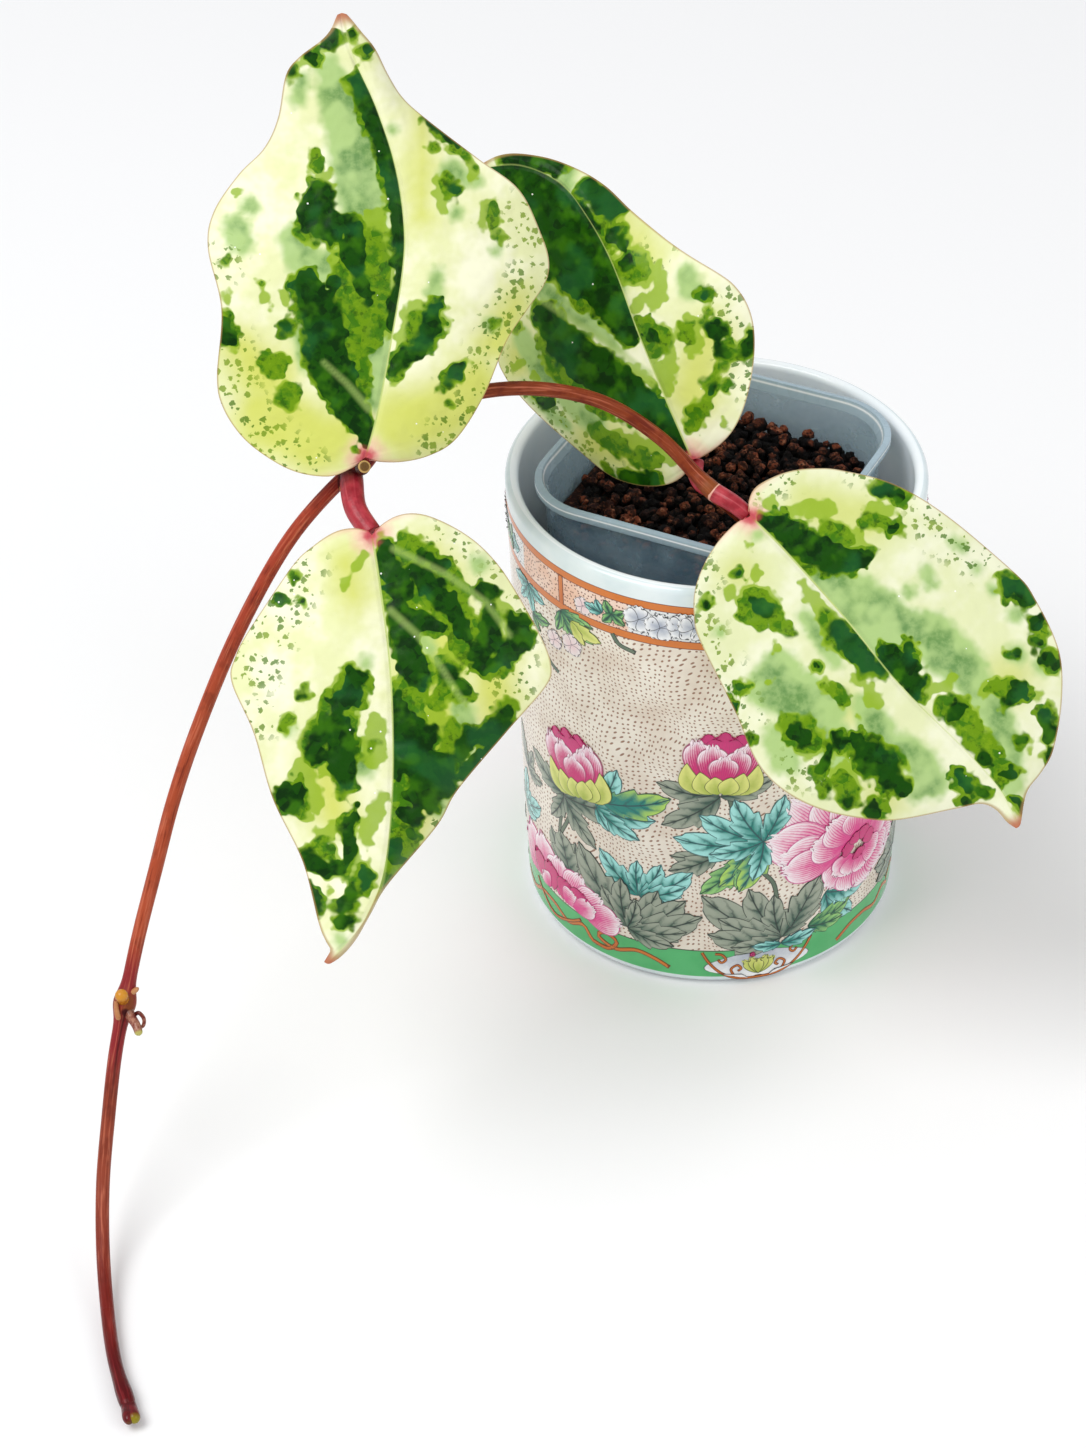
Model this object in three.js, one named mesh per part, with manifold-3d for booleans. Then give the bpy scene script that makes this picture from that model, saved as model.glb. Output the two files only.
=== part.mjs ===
// A variegated wax plant in a plain clear inner pot, which stands inside a
// decorated porcelain pot. Millimetres, +Z up, origin at the middle of the
// porcelain pot's flat underside, +Y away from the viewer.
import * as THREE from "three";
import { mergeVertices } from "three/addons/utils/BufferGeometryUtils.js";
import Module from "manifold-3d";

const wasm = await Module();
wasm.setup();

// Driving dimensions of the porcelain pot.
const potHeight = 148;
const rimRadius = 60;
const footRadius = 56;
const wall = 4;
const footRound = 3;
const potFloor = 6;
const potSegments = 48;

// Driving dimensions of the clear inner pot, a rounded square.
const seatGap = 0.3;
const innerTop = 151;
const innerTopSide = 82;
const innerBottomSide = 70;
const innerWall = 1.2;
const innerFloor = 1.6;
const flangeSide = 86;
const flangeHeight = 3;
const edgeRound = 0.5;
const baseRound = 2;
const cornerShare = 0.46;
const innerCentre = new THREE.Vector2(-0.5, 2.4);
const innerTurn = THREE.MathUtils.degToRad(-27.5);
const drainRadius = 3.5;
const drainSpread = 17;

// Driving dimensions of the granules that the plant grows in.
const soilLevel = 137.5;
const soilRise = 3.6;
const granuleRadius = 3.3;
const granuleSpacing = 6;
const granuleShift = 0.7;
const granuleUneven = 1.3;
const granuleSeed = 11;
const socketDepth = 34;

// Driving dimensions of the plant.
const stemRadius = 1.95;
const stemSides = 8;
const stemSteps = 92;
const bladeThickness = 1.0;
const ribHeight = 1.3;
const bladeRows = 22;
const columnShares = [0, 0.06, 0.26, 0.5, 0.76, 1];
const midribLag = 1.5;
const touchGap = 0.3;
const sliver = 0.02;

const finishes = {
  porcelain: new THREE.MeshStandardMaterial({ color: 0xd9cdbb, roughness: 0.15, metalness: 0 }),
  clearPlastic: new THREE.MeshStandardMaterial({ color: 0x9fb0ba, roughness: 0.25, metalness: 0 }),
  granules: new THREE.MeshStandardMaterial({ color: 0x3d1d14, roughness: 0.95, metalness: 0 }),
  stem: new THREE.MeshStandardMaterial({ color: 0x8a3a2c, roughness: 0.55, metalness: 0 }),
  petiole: new THREE.MeshStandardMaterial({ color: 0xb8434f, roughness: 0.5, metalness: 0 }),
  blade: new THREE.MeshStandardMaterial({ color: 0xd5dfa0, roughness: 0.35, metalness: 0 }),
  bud: new THREE.MeshStandardMaterial({ color: 0xa9713a, roughness: 0.5, metalness: 0 }),
};

const plant = new THREE.Group();

function place(name, geometry, material) {
  const mesh = new THREE.Mesh(geometry, material);
  mesh.name = name;
  plant.add(mesh);
  return mesh;
}

// Turns a closed geometry into a solid that can be joined and cut.
function toSolid(geometry) {
  const bare = geometry.clone();
  bare.deleteAttribute("normal");
  bare.deleteAttribute("uv");
  const merged = mergeVertices(bare, 1e-4);
  return new wasm.Manifold(new wasm.Mesh({
    numProp: 3,
    vertProperties: new Float32Array(merged.attributes.position.array),
    triVerts: new Uint32Array(merged.index.array),
  }));
}

// Slivers left by a cut are drawn together before the solid becomes a geometry again.
function toGeometry(solid) {
  const mesh = solid.simplify(sliver).getMesh();
  const geometry = new THREE.BufferGeometry();
  geometry.setAttribute("position", new THREE.BufferAttribute(mesh.vertProperties, 3));
  geometry.setIndex(new THREE.BufferAttribute(mesh.triVerts, 1));
  return geometry;
}

// Cutting a hole beside a stone can leave a loose scrap, which is dropped.
function largestBody(solid) {
  return solid.decompose().reduce((most, body) => (body.volume() > most.volume() ? body : most));
}

function fromTriangles(points, index) {
  const geometry = new THREE.BufferGeometry().setFromPoints(points);
  geometry.setIndex(index);
  return geometry;
}

// A closed body through rings of equal count, with a fan over each end ring.
function loft(rings) {
  const count = rings[0].length;
  const points = rings.flat();
  const index = [];
  for (let ring = 0; ring + 1 < rings.length; ring += 1) {
    for (let side = 0; side < count; side += 1) {
      const here = ring * count + side;
      const next = ring * count + (side + 1) % count;
      index.push(here, next, here + count, next, next + count, here + count);
    }
  }
  const middle = (ring) => ring
    .reduce((sum, point) => sum.add(point), new THREE.Vector3())
    .divideScalar(count);
  const first = points.push(middle(rings[0])) - 1;
  const last = points.push(middle(rings[rings.length - 1])) - 1;
  const lastRing = (rings.length - 1) * count;
  for (let side = 0; side < count; side += 1) {
    const next = (side + 1) % count;
    index.push(first, next, side, last, lastRing + side, lastRing + next);
  }
  return fromTriangles(points, index);
}

// Rings of a round stem along a curve; radiusAt takes the share of its length.
function stemRings(curve, steps, radiusAt) {
  const frames = curve.computeFrenetFrames(steps, false);
  const rings = [];
  for (let step = 0; step <= steps; step += 1) {
    const share = step / steps;
    const centre = curve.getPointAt(share);
    const ring = [];
    for (let side = 0; side < stemSides; side += 1) {
      const angle = 2 * Math.PI * side / stemSides;
      ring.push(centre.clone()
        .addScaledVector(frames.normals[step], Math.cos(angle) * radiusAt(share))
        .addScaledVector(frames.binormals[step], Math.sin(angle) * radiusAt(share)));
    }
    rings.push(ring);
  }
  return rings;
}

function curveThrough(points) {
  const places = points.map(([x, y, z]) => new THREE.Vector3(x, y, z));
  return new THREE.CatmullRomCurve3(places, false, "centripetal");
}

// Porcelain pot: one turned wall with a rounded lip, a rounded foot and a flat underside.
function porcelainPot() {
  const lip = wall / 2;
  const profile = [new THREE.Vector2(0, 0)];
  for (let step = 0; step <= 2; step += 1) {
    const angle = Math.PI / 4 * step;
    profile.push(new THREE.Vector2(
      footRadius - footRound * (1 - Math.sin(angle)),
      footRound * (1 - Math.cos(angle)),
    ));
  }
  for (let step = 0; step <= 4; step += 1) {
    const angle = Math.PI / 4 * step;
    profile.push(new THREE.Vector2(
      rimRadius - lip * (1 - Math.cos(angle)),
      potHeight - lip * (1 - Math.sin(angle)),
    ));
  }
  profile.push(new THREE.Vector2(footRadius - wall, potFloor + footRound));
  profile.push(new THREE.Vector2(footRadius - wall - footRound, potFloor));
  profile.push(new THREE.Vector2(0, potFloor));
  return new THREE.LatheGeometry(profile, potSegments);
}

// One level ring of a rounded square, turned and set as the inner pot stands.
function squareRing(side, height, arcSteps = 5) {
  const corner = side * cornerShare / 2;
  const reach = side / 2 - corner;
  const ring = [];
  for (let quarter = 0; quarter < 4; quarter += 1) {
    const towards = Math.PI / 2 * quarter + Math.PI / 4;
    const cornerX = Math.SQRT2 * reach * Math.cos(towards);
    const cornerY = Math.SQRT2 * reach * Math.sin(towards);
    for (let step = 0; step <= arcSteps; step += 1) {
      const angle = Math.PI / 2 * (quarter + step / arcSteps);
      const flat = new THREE.Vector2(
        cornerX + corner * Math.cos(angle),
        cornerY + corner * Math.sin(angle),
      ).rotateAround(new THREE.Vector2(), innerTurn).add(innerCentre);
      ring.push(new THREE.Vector3(flat.x, flat.y, height));
    }
  }
  return ring;
}

const innerBase = potFloor + seatGap;

// The inner pot's outer side at a height: it widens in a straight line upwards.
function innerSideAt(height) {
  return THREE.MathUtils.mapLinear(height, innerBase, innerTop, innerBottomSide, innerTopSide);
}

// Clear inner pot: a rounded square cup with a flange at its rim and drain holes in its floor.
function innerPot() {
  const underFlange = innerTop - flangeHeight;
  const insideFloor = innerBase + innerFloor;
  const lipSide = flangeSide - 2 * innerWall;
  const cup = loft([
    squareRing(innerBottomSide - 1.5 * baseRound, innerBase),
    squareRing(innerBottomSide, innerBase + baseRound),
    squareRing(innerSideAt(underFlange), underFlange),
    squareRing(flangeSide, underFlange + edgeRound),
    squareRing(flangeSide, innerTop - edgeRound),
    squareRing(flangeSide - 2 * edgeRound, innerTop),
    squareRing(lipSide - 2 * edgeRound, innerTop),
    squareRing(innerTopSide - 2 * innerWall, underFlange),
    squareRing(innerBottomSide - 2 * innerWall, insideFloor + baseRound),
    squareRing(innerBottomSide - 2 * innerWall - 1.5 * baseRound, insideFloor),
  ]);
  let solid = toSolid(cup);
  const drain = new THREE.CylinderGeometry(drainRadius, drainRadius, 3 * innerFloor, 12);
  drain.rotateX(Math.PI / 2);
  for (let hole = 0; hole < 5; hole += 1) {
    const angle = Math.PI / 2 * hole + innerTurn;
    const spread = hole < 4 ? drainSpread : 0;
    const bore = drain.clone().translate(
      innerCentre.x + spread * Math.cos(angle),
      innerCentre.y + spread * Math.sin(angle),
      innerBase + innerFloor / 2,
    );
    solid = solid.subtract(toSolid(bore));
  }
  return toGeometry(solid);
}

// The vine's centre line: up out of the granules, over in an arch, then down to trail
// along the surface. The named points are where the leaves and buds sit.
const soilFoot = [14, -28, 118];
const nodeA = [-3.3, -42.4, 168.7];
const nodeB = [-97, -53.6, 188.4];
const nodeC = [-167.4, -113.7, 52.4];
const growingTip = [-162.5, -214.5, 2.7];
const vineRoute = [
  soilFoot, [14, -28, 134], [10, -32, 147], [3, -38, 159], nodeA,
  [-7.7, -37.9, 171.2], [-17.4, -32.3, 179.8], [-33.5, -29.2, 190], [-54.8, -31.8, 196.4],
  [-76, -39.7, 197.6], [-88, -46.8, 194], nodeB,
  [-105.2, -56.3, 181.8], [-117, -59.7, 168.4], [-131.8, -66.5, 144], [-144.7, -75.3, 117],
  [-152.1, -83, 99], [-157.9, -92.4, 82], [-163.4, -103.1, 66], nodeC,
  [-170.2, -123, 42], [-172.4, -135.5, 29], [-173.8, -147.5, 18], [-173.6, -161, 9.2],
  [-171.6, -178, 4], [-167.8, -198, 2.8], growingTip,
];
const vineCurve = curveThrough(vineRoute);
vineCurve.arcLengthDivisions = 1200;
const vineLength = vineCurve.getLength();

// Share of the vine's length at the point of the curve nearest a place.
function vineShare([x, y, z]) {
  const place = new THREE.Vector3(x, y, z);
  let best = 0;
  for (let step = 1; step <= vineLength; step += 1) {
    const nearer = vineCurve.getPointAt(step / vineLength).distanceTo(place)
      < vineCurve.getPointAt(best).distanceTo(place);
    best = nearer ? step / vineLength : best;
  }
  return best;
}

// Swellings along the vine: place, extra radius and half length of each.
const swellings = [
  { at: vineShare(nodeA), rise: 0.6, spread: 5 },
  { at: vineShare(nodeB), rise: 0.9, spread: 4.5 },
  { at: vineShare(nodeC), rise: 1.0, spread: 4 },
  { at: 1 - 5 / vineLength, rise: 0.4, spread: 5 },
];

function vineRadius(share) {
  const bulge = swellings.reduce((sum, { at, rise, spread }) => {
    const away = (share - at) * vineLength / spread;
    return sum + rise * Math.exp(-away * away);
  }, 0);
  const slender = 0.1 * THREE.MathUtils.smoothstep(share, 0.6, 1);
  return stemRadius + bulge - slender;
}

// A shoot along a curve, with its far end drawn in to a blunt round.
function roundedShoot(curve, steps, radiusAt, endLength) {
  const length = curve.getLength();
  return toSolid(loft(stemRings(curve, steps, (share) => {
    const into = Math.max(endLength - (1 - share) * length, 0) / endLength;
    return radiusAt(share) * Math.sqrt(1 - 0.8 * into * into);
  })));
}

// The stub of an old flower stalk, grown as one with the vine at its second node.
const spurCurve = curveThrough([nodeB, [-96.6, -58.8, 190], [-95.6, -62.4, 193.2]]);
const spurRadius = 1.6;

// The vine as one solid, or the same shape grown on all sides by a clearance.
function vineBody(clearance) {
  const main = roundedShoot(vineCurve, stemSteps, (share) => vineRadius(share) + clearance, 2.5);
  const spur = roundedShoot(spurCurve, 5, () => spurRadius + clearance, 0.6);
  return main.add(spur);
}

const vine = vineBody(0);
const aroundVine = vineBody(touchGap);

// A seeded generator of even numbers from 0 to 1.
function seeded(seed) {
  let state = seed;
  return () => {
    state = (state * 16807) % 2147483647;
    return state / 2147483647;
  };
}

// Granules: a plain filling under a covering of stones, and a plain hole for the stem.
function granuleBed() {
  const random = seeded(granuleSeed);
  const clear = 2 * (innerWall + seatGap);
  const bedBase = innerBase + innerFloor + seatGap;
  const bedTop = soilLevel - 0.75 * granuleRadius;
  let bed = toSolid(loft([
    squareRing(innerBottomSide - clear - 2 * baseRound, bedBase, 3),
    squareRing(innerBottomSide - clear, bedBase + baseRound, 3),
    squareRing(innerSideAt(bedTop) - clear, bedTop, 3),
  ]));
  const reach = (innerSideAt(bedTop) - clear) / 2 - granuleRadius - 0.2;
  const corner = reach * cornerShare;
  const stones = [];
  const rows = Math.floor(2 * reach / granuleSpacing);
  for (let row = 0; row <= rows; row += 1) {
    for (let column = 0; column <= rows; column += 1) {
      const stagger = row % 2 ? 0.25 : -0.25;
      const across = (column + stagger + granuleShift * (random() - 0.5)) / rows;
      const along = (row + granuleShift * (random() - 0.5)) / rows;
      const x = THREE.MathUtils.clamp(reach * (2 * across - 1), -reach, reach);
      const y = THREE.MathUtils.clamp(reach * (2 * along - 1), -reach, reach);
      const overX = Math.max(Math.abs(x) - reach + corner, 0);
      const overY = Math.max(Math.abs(y) - reach + corner, 0);
      const mound = soilRise * Math.cos(x / reach * 1.4) * Math.cos(y / reach - 0.6);
      const height = soilLevel - granuleRadius + mound + granuleUneven * (random() - 0.5);
      const turn = random() * Math.PI;
      if (Math.hypot(overX, overY) > corner) continue;
      const stone = new THREE.IcosahedronGeometry(granuleRadius, 0);
      stone.scale(1, 0.9 + 0.2 * random(), 1);
      stone.rotateX(turn).rotateZ(2 * turn);
      const flat = new THREE.Vector2(x, y).rotateAround(new THREE.Vector2(), innerTurn).add(innerCentre);
      stone.translate(flat.x, flat.y, height);
      stones.push(toSolid(stone));
    }
  }
  bed = bed.add(wasm.Manifold.union(stones));
  const socketEnd = socketDepth / vineLength;
  const socket = stemRings(vineCurve, stemSteps, (share) => vineRadius(share) + touchGap + 0.1)
    .filter((ring, step) => step / stemSteps < socketEnd);
  const below = socket[0].map((point) => point.clone().setZ(point.z - seatGap));
  return toGeometry(largestBody(bed.subtract(toSolid(loft([below, ...socket])))));
}

// Leaf blades. Across and along are millimetres in the leaf's own plane, from the base
// towards the tip; left is seen from above with the tip up. Each list runs base to tip.
const leaves = {
  leaf_1: {
    base: [-95.5, -58.5, 193.5], tip: [-98.5, 4, 289], face: [0.11, -0.83, 0.55],
    left: [
      [-1.2, -0.8], [-5, -3], [-10, -4.5], [-18, -3], [-25, 1], [-31.5, 7], [-36, 15], [-37, 23],
      [-35, 40], [-37.5, 55.5], [-35.5, 65], [-28.5, 74.5], [-21.5, 81], [-17.5, 88.5], [-15, 99],
      [-11.5, 103.5], [-5, 108], [-2.2, 111], [-0.6, 114.5],
    ],
    midrib: [[0, 0], [4, 12], [8.5, 30], [12.5, 48], [13.5, 60], [12, 75], [8, 90], [3, 103], [0.5, 114.8]],
    right: [
      [1.2, -0.8], [9.5, -1.4], [17.5, 0], [24.5, 4], [32, 14.5], [39, 28.5], [45.5, 37], [50.5, 43.5],
      [51.8, 49], [50, 56], [44.5, 67.5], [34, 76], [20.5, 87.5], [15, 93], [11.5, 99], [8.5, 105.5],
      [5, 110], [1.6, 114.5],
    ],
    bend: -6, back: [4, 8], wave: [3.5, 3], cycles: [2.5, 2.5], phase: [0.1, 0.6],
  },
  leaf_2: {
    base: [-8, -24.5, 167.5], tip: [-65, 26.5, 229], face: [-0.42, -0.85, 0.31],
    left: [
      [-1.2, -0.4], [-7, -1.8], [-14, 0], [-21.5, 5], [-27, 12], [-30, 23], [-33.5, 43], [-34.5, 52],
      [-33, 58], [-25, 70], [-16, 85], [-8, 96.5], [-4.5, 100],
    ],
    midrib: [[0, 0], [2, 8.5], [8.5, 34.5], [14.5, 55], [16.5, 70], [15.5, 82], [8.5, 93], [-3, 100.4]],
    right: [
      [1.2, -0.8], [9, -1.3], [15.5, 0], [22, 4], [29, 11], [35.5, 20], [38, 28], [36.5, 36], [28.5, 53],
      [24.5, 64], [23, 74], [20.5, 81.5], [16, 89], [9.5, 95.5], [4, 99], [-2, 100.6],
    ],
    bend: -8, back: [6, 6], wave: [2.5, 2.5], cycles: [2, 2.5], phase: [0.3, 0.1],
  },
  leaf_3: {
    base: [-94, -75.5, 180.5], tip: [-108, -152, 101], face: [0, -0.72, 0.69],
    left: [
      [-1, -1.8], [-6.5, -6], [-12.5, -7], [-20, -5], [-27, -1.5], [-33, 3.5], [-38, 9.5], [-46, 21],
      [-49.5, 28.5], [-48.5, 34], [-40, 46], [-28.5, 62.5], [-24, 72.5], [-13, 89], [-9.5, 97],
      [-6.5, 104], [-3.5, 108.5], [-0.8, 111],
    ],
    midrib: [
      [0, 0], [-3, 11], [-8, 32], [-11, 52], [-12.5, 70], [-12.3, 86], [-10, 95.5], [-6.5, 103],
      [-0.2, 111.3],
    ],
    right: [
      [1, -1], [5.5, -1.2], [10, 0.3], [15, 4.3], [20, 10], [29, 26.5], [32.2, 35], [32.2, 41.5], [25, 54],
      [18.5, 70], [9, 85.5], [3, 101], [0.6, 105.5], [-0.9, 107.8], [0.5, 111],
    ],
    bend: -4, back: [8, 5], wave: [2, 2.5], cycles: [2, 2], phase: [0.3, 0.2],
  },
  leaf_4: {
    base: [6, -51, 166.5], tip: [74.5, -110, 105.5], face: [-0.05, -0.74, 0.67],
    left: [
      [-0.8, -1.4], [-2.5, -3.3], [-6, -4.9], [-11, -4.2], [-16.5, -2.2], [-22, 1.5], [-27, 6.5],
      [-35, 18.5], [-40.5, 35], [-44.5, 57], [-44, 66], [-39.5, 80.5], [-31.5, 91], [-21.5, 99.5],
      [-15.5, 102], [-9.5, 103.2], [-6, 105.2], [-1.2, 109.2],
    ],
    midrib: [[0, 0], [-1, 13], [-1.5, 37.5], [-1, 60], [-3, 84], [-3.4, 97], [-2.4, 103.5], [-0.6, 109.5]],
    right: [
      [1.4, -0.4], [6, -0.8], [12, 0], [18, 2], [24, 5.5], [28.5, 10.5], [31.5, 16.5], [36.5, 37],
      [40.5, 49], [41.3, 57], [39.5, 65], [35.5, 73], [29.5, 80.5], [22.5, 87], [9, 94.6], [2.8, 98],
      [0.6, 102], [0.6, 106.5], [0, 109.4],
    ],
    bend: -5, back: [5, 6], wave: [2.5, 2], cycles: [2.5, 2], phase: [0.4, 0.1],
  },
};

// A leaf's own axes: across to the right, along to the tip and out of its upper face.
function leafAxes(leaf) {
  const base = new THREE.Vector3(...leaf.base);
  const along = new THREE.Vector3(...leaf.tip).sub(base).normalize();
  const face = new THREE.Vector3(...leaf.face);
  face.addScaledVector(along, -face.dot(along)).normalize();
  const across = new THREE.Vector3().crossVectors(along, face);
  return { base, across, along, face };
}

function planeCurve(points) {
  const places = points.map(([across, along]) => new THREE.Vector3(across, along, 0));
  return new THREE.CatmullRomCurve3(places, false, "catmullrom", 0.5);
}

// Height of a blade over its plane: the midrib bends back towards the tip, each half
// rises beside the midrib, falls back to its margin and waves along it.
function bladeHeight(leaf, share, side, edge, halfWidth) {
  const ends = Math.sin(Math.PI * share) ** 0.7;
  const fullness = 0.2 * halfWidth * edge * (1 - edge);
  const wave = leaf.wave[side] * Math.sin(2 * Math.PI * (leaf.cycles[side] * share + leaf.phase[side]));
  return leaf.bend * share * share + ends * (fullness + edge * edge * (wave - leaf.back[side]));
}

// A waved blade: a net of points on each face, split alike, closed round its margin.
function blade(leaf) {
  const edges = [planeCurve(leaf.left), planeCurve(leaf.right)];
  const midrib = planeCurve(leaf.midrib);
  const columns = [];
  for (let index = columnShares.length - 1; index > 0; index -= 1) {
    columns.push({ side: 0, edge: columnShares[index] });
  }
  columnShares.forEach((edge) => columns.push({ side: 1, edge }));
  const upper = [];
  const lower = [];
  for (let row = 0; row <= bladeRows; row += 1) {
    const share = row / bladeRows;
    const middle = midrib.getPointAt(share ** midribLag);
    for (const { side, edge } of columns) {
      const margin = edges[side].getPointAt(share);
      const halfWidth = middle.distanceTo(margin);
      const point = middle.clone().lerp(margin, edge);
      point.z = bladeHeight(leaf, share, side, edge, halfWidth);
      const rib = edge === 0 ? ribHeight * (1 - share) : 0;
      upper.push(point.clone().setZ(point.z + bladeThickness / 2));
      lower.push(point.clone().setZ(point.z - bladeThickness / 2 - rib));
    }
  }
  const count = columns.length;
  const under = upper.length;
  const index = [];
  for (let row = 0; row < bladeRows; row += 1) {
    for (let column = 0; column + 1 < count; column += 1) {
      const a = row * count + column;
      const b = a + 1;
      const c = a + count;
      const d = c + 1;
      index.push(a, b, d, a, d, c);
      index.push(a + under, d + under, b + under, a + under, c + under, d + under);
    }
  }
  const margin = [];
  for (let column = 0; column < count; column += 1) margin.push(column);
  for (let row = 1; row <= bladeRows; row += 1) margin.push(row * count + count - 1);
  for (let column = count - 2; column >= 0; column -= 1) margin.push(bladeRows * count + column);
  for (let row = bladeRows - 1; row > 0; row -= 1) margin.push(row * count);
  margin.forEach((here, step) => {
    const next = margin[(step + 1) % margin.length];
    index.push(here, here + under, next, next, here + under, next + under);
  });
  const { base, across, along, face } = leafAxes(leaf);
  const geometry = fromTriangles([...upper, ...lower], index);
  geometry.applyMatrix4(new THREE.Matrix4().makeBasis(across, along, face));
  return geometry.translate(base.x, base.y, base.z);
}

// Leaf stalks: each leaves its stem node, passes through its places and ends close under
// the base of its blade.
const stalks = {
  petiole_1: { leaf: leaves.leaf_1, from: nodeB, through: [[-96.6, -55.7, 189.7]], radius: 1.7 },
  petiole_2: {
    leaf: leaves.leaf_2, from: nodeA, radius: 1.9,
    through: [[-6.6, -35.5, 166.4], [-7.8, -31, 166.4], [-6, -24.4, 163.6]],
  },
  petiole_3: {
    leaf: leaves.leaf_3, from: [-99.8, -55.5, 185], through: [[-98.4, -65.5, 182]], radius: 2.8,
  },
  petiole_4: { leaf: leaves.leaf_4, from: nodeA, through: [[1.8, -46.6, 167.6]], radius: 2.3 },
};
const stalkSpread = 1.15;

function stalk({ leaf, from, through, radius }) {
  const { base, along, face } = leafAxes(leaf);
  const end = base.clone()
    .addScaledVector(along, -2 * touchGap)
    .addScaledVector(face, -(bladeThickness / 2 + touchGap + radius));
  const curve = curveThrough([from, ...through, end.toArray()]);
  const radiusAt = (share) => radius * THREE.MathUtils.lerp(stalkSpread, 1, share);
  return toGeometry(largestBody(toSolid(loft(stemRings(curve, 7, radiusAt))).subtract(aroundVine)));
}

// Buds: an amber bud and a young flower stalk at the third node, and folded young
// leaves beyond the growing tip.
const buds = {
  node_bud: { route: [nodeC, [-167.6, -115.5, 56.2], [-167.5, -116.9, 58.9]], radii: [1.6, 1.9] },
  young_stalk: {
    route: [nodeC, [-165.4, -117.6, 50.6], [-163.9, -120.4, 50.2], [-162.9, -122.9, 48.8]],
    radii: [1.6, 1.1],
  },
  tip_leaves: { route: [growingTip, [-161.9, -217, 3.1], [-161.3, -219.4, 3.2]], radii: [2.3, 2.7] },
};

function bud({ route, radii }) {
  const [atStem, atEnd] = radii;
  const radiusAt = (share) => THREE.MathUtils.lerp(atStem, atEnd, share);
  const shoot = roundedShoot(curveThrough(route), 9, radiusAt, Math.max(1.2, 0.9 * atEnd));
  return toGeometry(largestBody(shoot.subtract(aroundVine)));
}

place("cachepot", porcelainPot().rotateX(Math.PI / 2), finishes.porcelain);
place("inner_pot", innerPot(), finishes.clearPlastic);
place("substrate", granuleBed(), finishes.granules);
place("vine", toGeometry(vine), finishes.stem);
for (const [name, shape] of Object.entries(stalks)) {
  place(name, stalk(shape), finishes.petiole);
}
for (const [name, shape] of Object.entries(leaves)) {
  place(name, blade(shape), finishes.blade);
}
for (const [name, shape] of Object.entries(buds)) {
  place(name, bud(shape), finishes.bud);
}

export default plant;
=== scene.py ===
# %% [markdown]
# # A variegated wax plant in a painted porcelain pot
# The plant grows in dark granules in a clear inner pot, which stands inside the porcelain one.
# Its single shoot arches out over the rim and trails down to the table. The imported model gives
# every place and size, and each piece below is a finer one in the same place.

import math
import random

import bpy
import numpy as np
from mathutils import Matrix, Vector, noise


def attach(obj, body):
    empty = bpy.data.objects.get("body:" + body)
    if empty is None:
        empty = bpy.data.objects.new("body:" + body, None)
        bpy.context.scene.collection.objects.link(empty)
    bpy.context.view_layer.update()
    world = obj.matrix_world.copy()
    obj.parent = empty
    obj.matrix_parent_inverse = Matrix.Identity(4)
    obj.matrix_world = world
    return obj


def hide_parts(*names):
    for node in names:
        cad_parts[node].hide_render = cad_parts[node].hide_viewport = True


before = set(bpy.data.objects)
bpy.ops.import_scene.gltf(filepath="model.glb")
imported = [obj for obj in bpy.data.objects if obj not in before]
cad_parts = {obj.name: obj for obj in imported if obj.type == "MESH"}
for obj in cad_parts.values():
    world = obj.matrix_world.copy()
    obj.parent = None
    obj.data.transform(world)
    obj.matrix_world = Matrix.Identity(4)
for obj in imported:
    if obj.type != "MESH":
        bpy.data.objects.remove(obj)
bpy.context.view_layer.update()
MM = 0.001
print("pieces in the packed model:", ", ".join(sorted(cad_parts)))

# %% [markdown]
# Operators act on all that is selected, and the imported model comes in selected. So a first
# helper picks one piece alone. A second one puts a finished piece in its place in the model: it
# rides on the body and stands for its plain solid. Smoothing by angle keeps sharp edges sharp.


# %% Helpers for picking and keeping a piece
def select_only(piece):
    bpy.ops.object.select_all(action="DESELECT")
    piece.select_set(True)
    bpy.context.view_layer.objects.active = piece


def keep(piece, name, slot, *stands_for, crease=40):
    select_only(piece)
    bpy.ops.object.shade_smooth_by_angle(angle=math.radians(crease))
    piece.name = name
    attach(piece, "root")
    if stands_for:
        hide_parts(*stands_for)
    print(name, "has", len(piece.data.polygons), "faces")
    return piece


# %% [markdown]
# The camera looks down on the pot by nearly 39 degrees. It could be set by eye, but the
# ellipses of the pot's rim and foot tell its place and lens, so the pot, the leaves and the
# trailing stem all fall where they should.

# %% Camera
CAMERA_PLACE = Vector((-50.78, -774.47, 676.89)) * MM
CAMERA_DOWN = math.radians(38.72)
CAMERA_ROLL = math.radians(-1.33)
LENS = 82.04
SENSOR_WIDTH = 36
SIGHT = 20

camera_data = bpy.data.cameras.new("camera")
camera_data.lens = LENS
camera_data.sensor_width = SENSOR_WIDTH
camera_data.clip_end = SIGHT
camera = bpy.data.objects.new("camera", camera_data)
tilt = Matrix.Rotation(math.radians(90) - CAMERA_DOWN, 4, "X")
roll = Matrix.Rotation(CAMERA_ROLL, 4, "Z")
camera.matrix_world = Matrix.Translation(CAMERA_PLACE) @ tilt @ roll
bpy.context.scene.collection.objects.link(camera)
bpy.context.scene.camera = camera
bpy.context.scene.view_settings.view_transform = "Standard"
print("camera at", [round(value, 3) for value in camera.location])

# %% [markdown]
# The plant is lit as on a white table near a window. One large lamp at the upper left gives the
# shade its direction, a weaker one on the right lifts it, and a pale room fills the rest. A
# small lamp would throw hard shadows of the leaves on the pot.

# %% Soft studio light
LAMP_AIM = Vector((-0.04, -0.05, 0.12))
ROOM_LIGHT = 0.66


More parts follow.
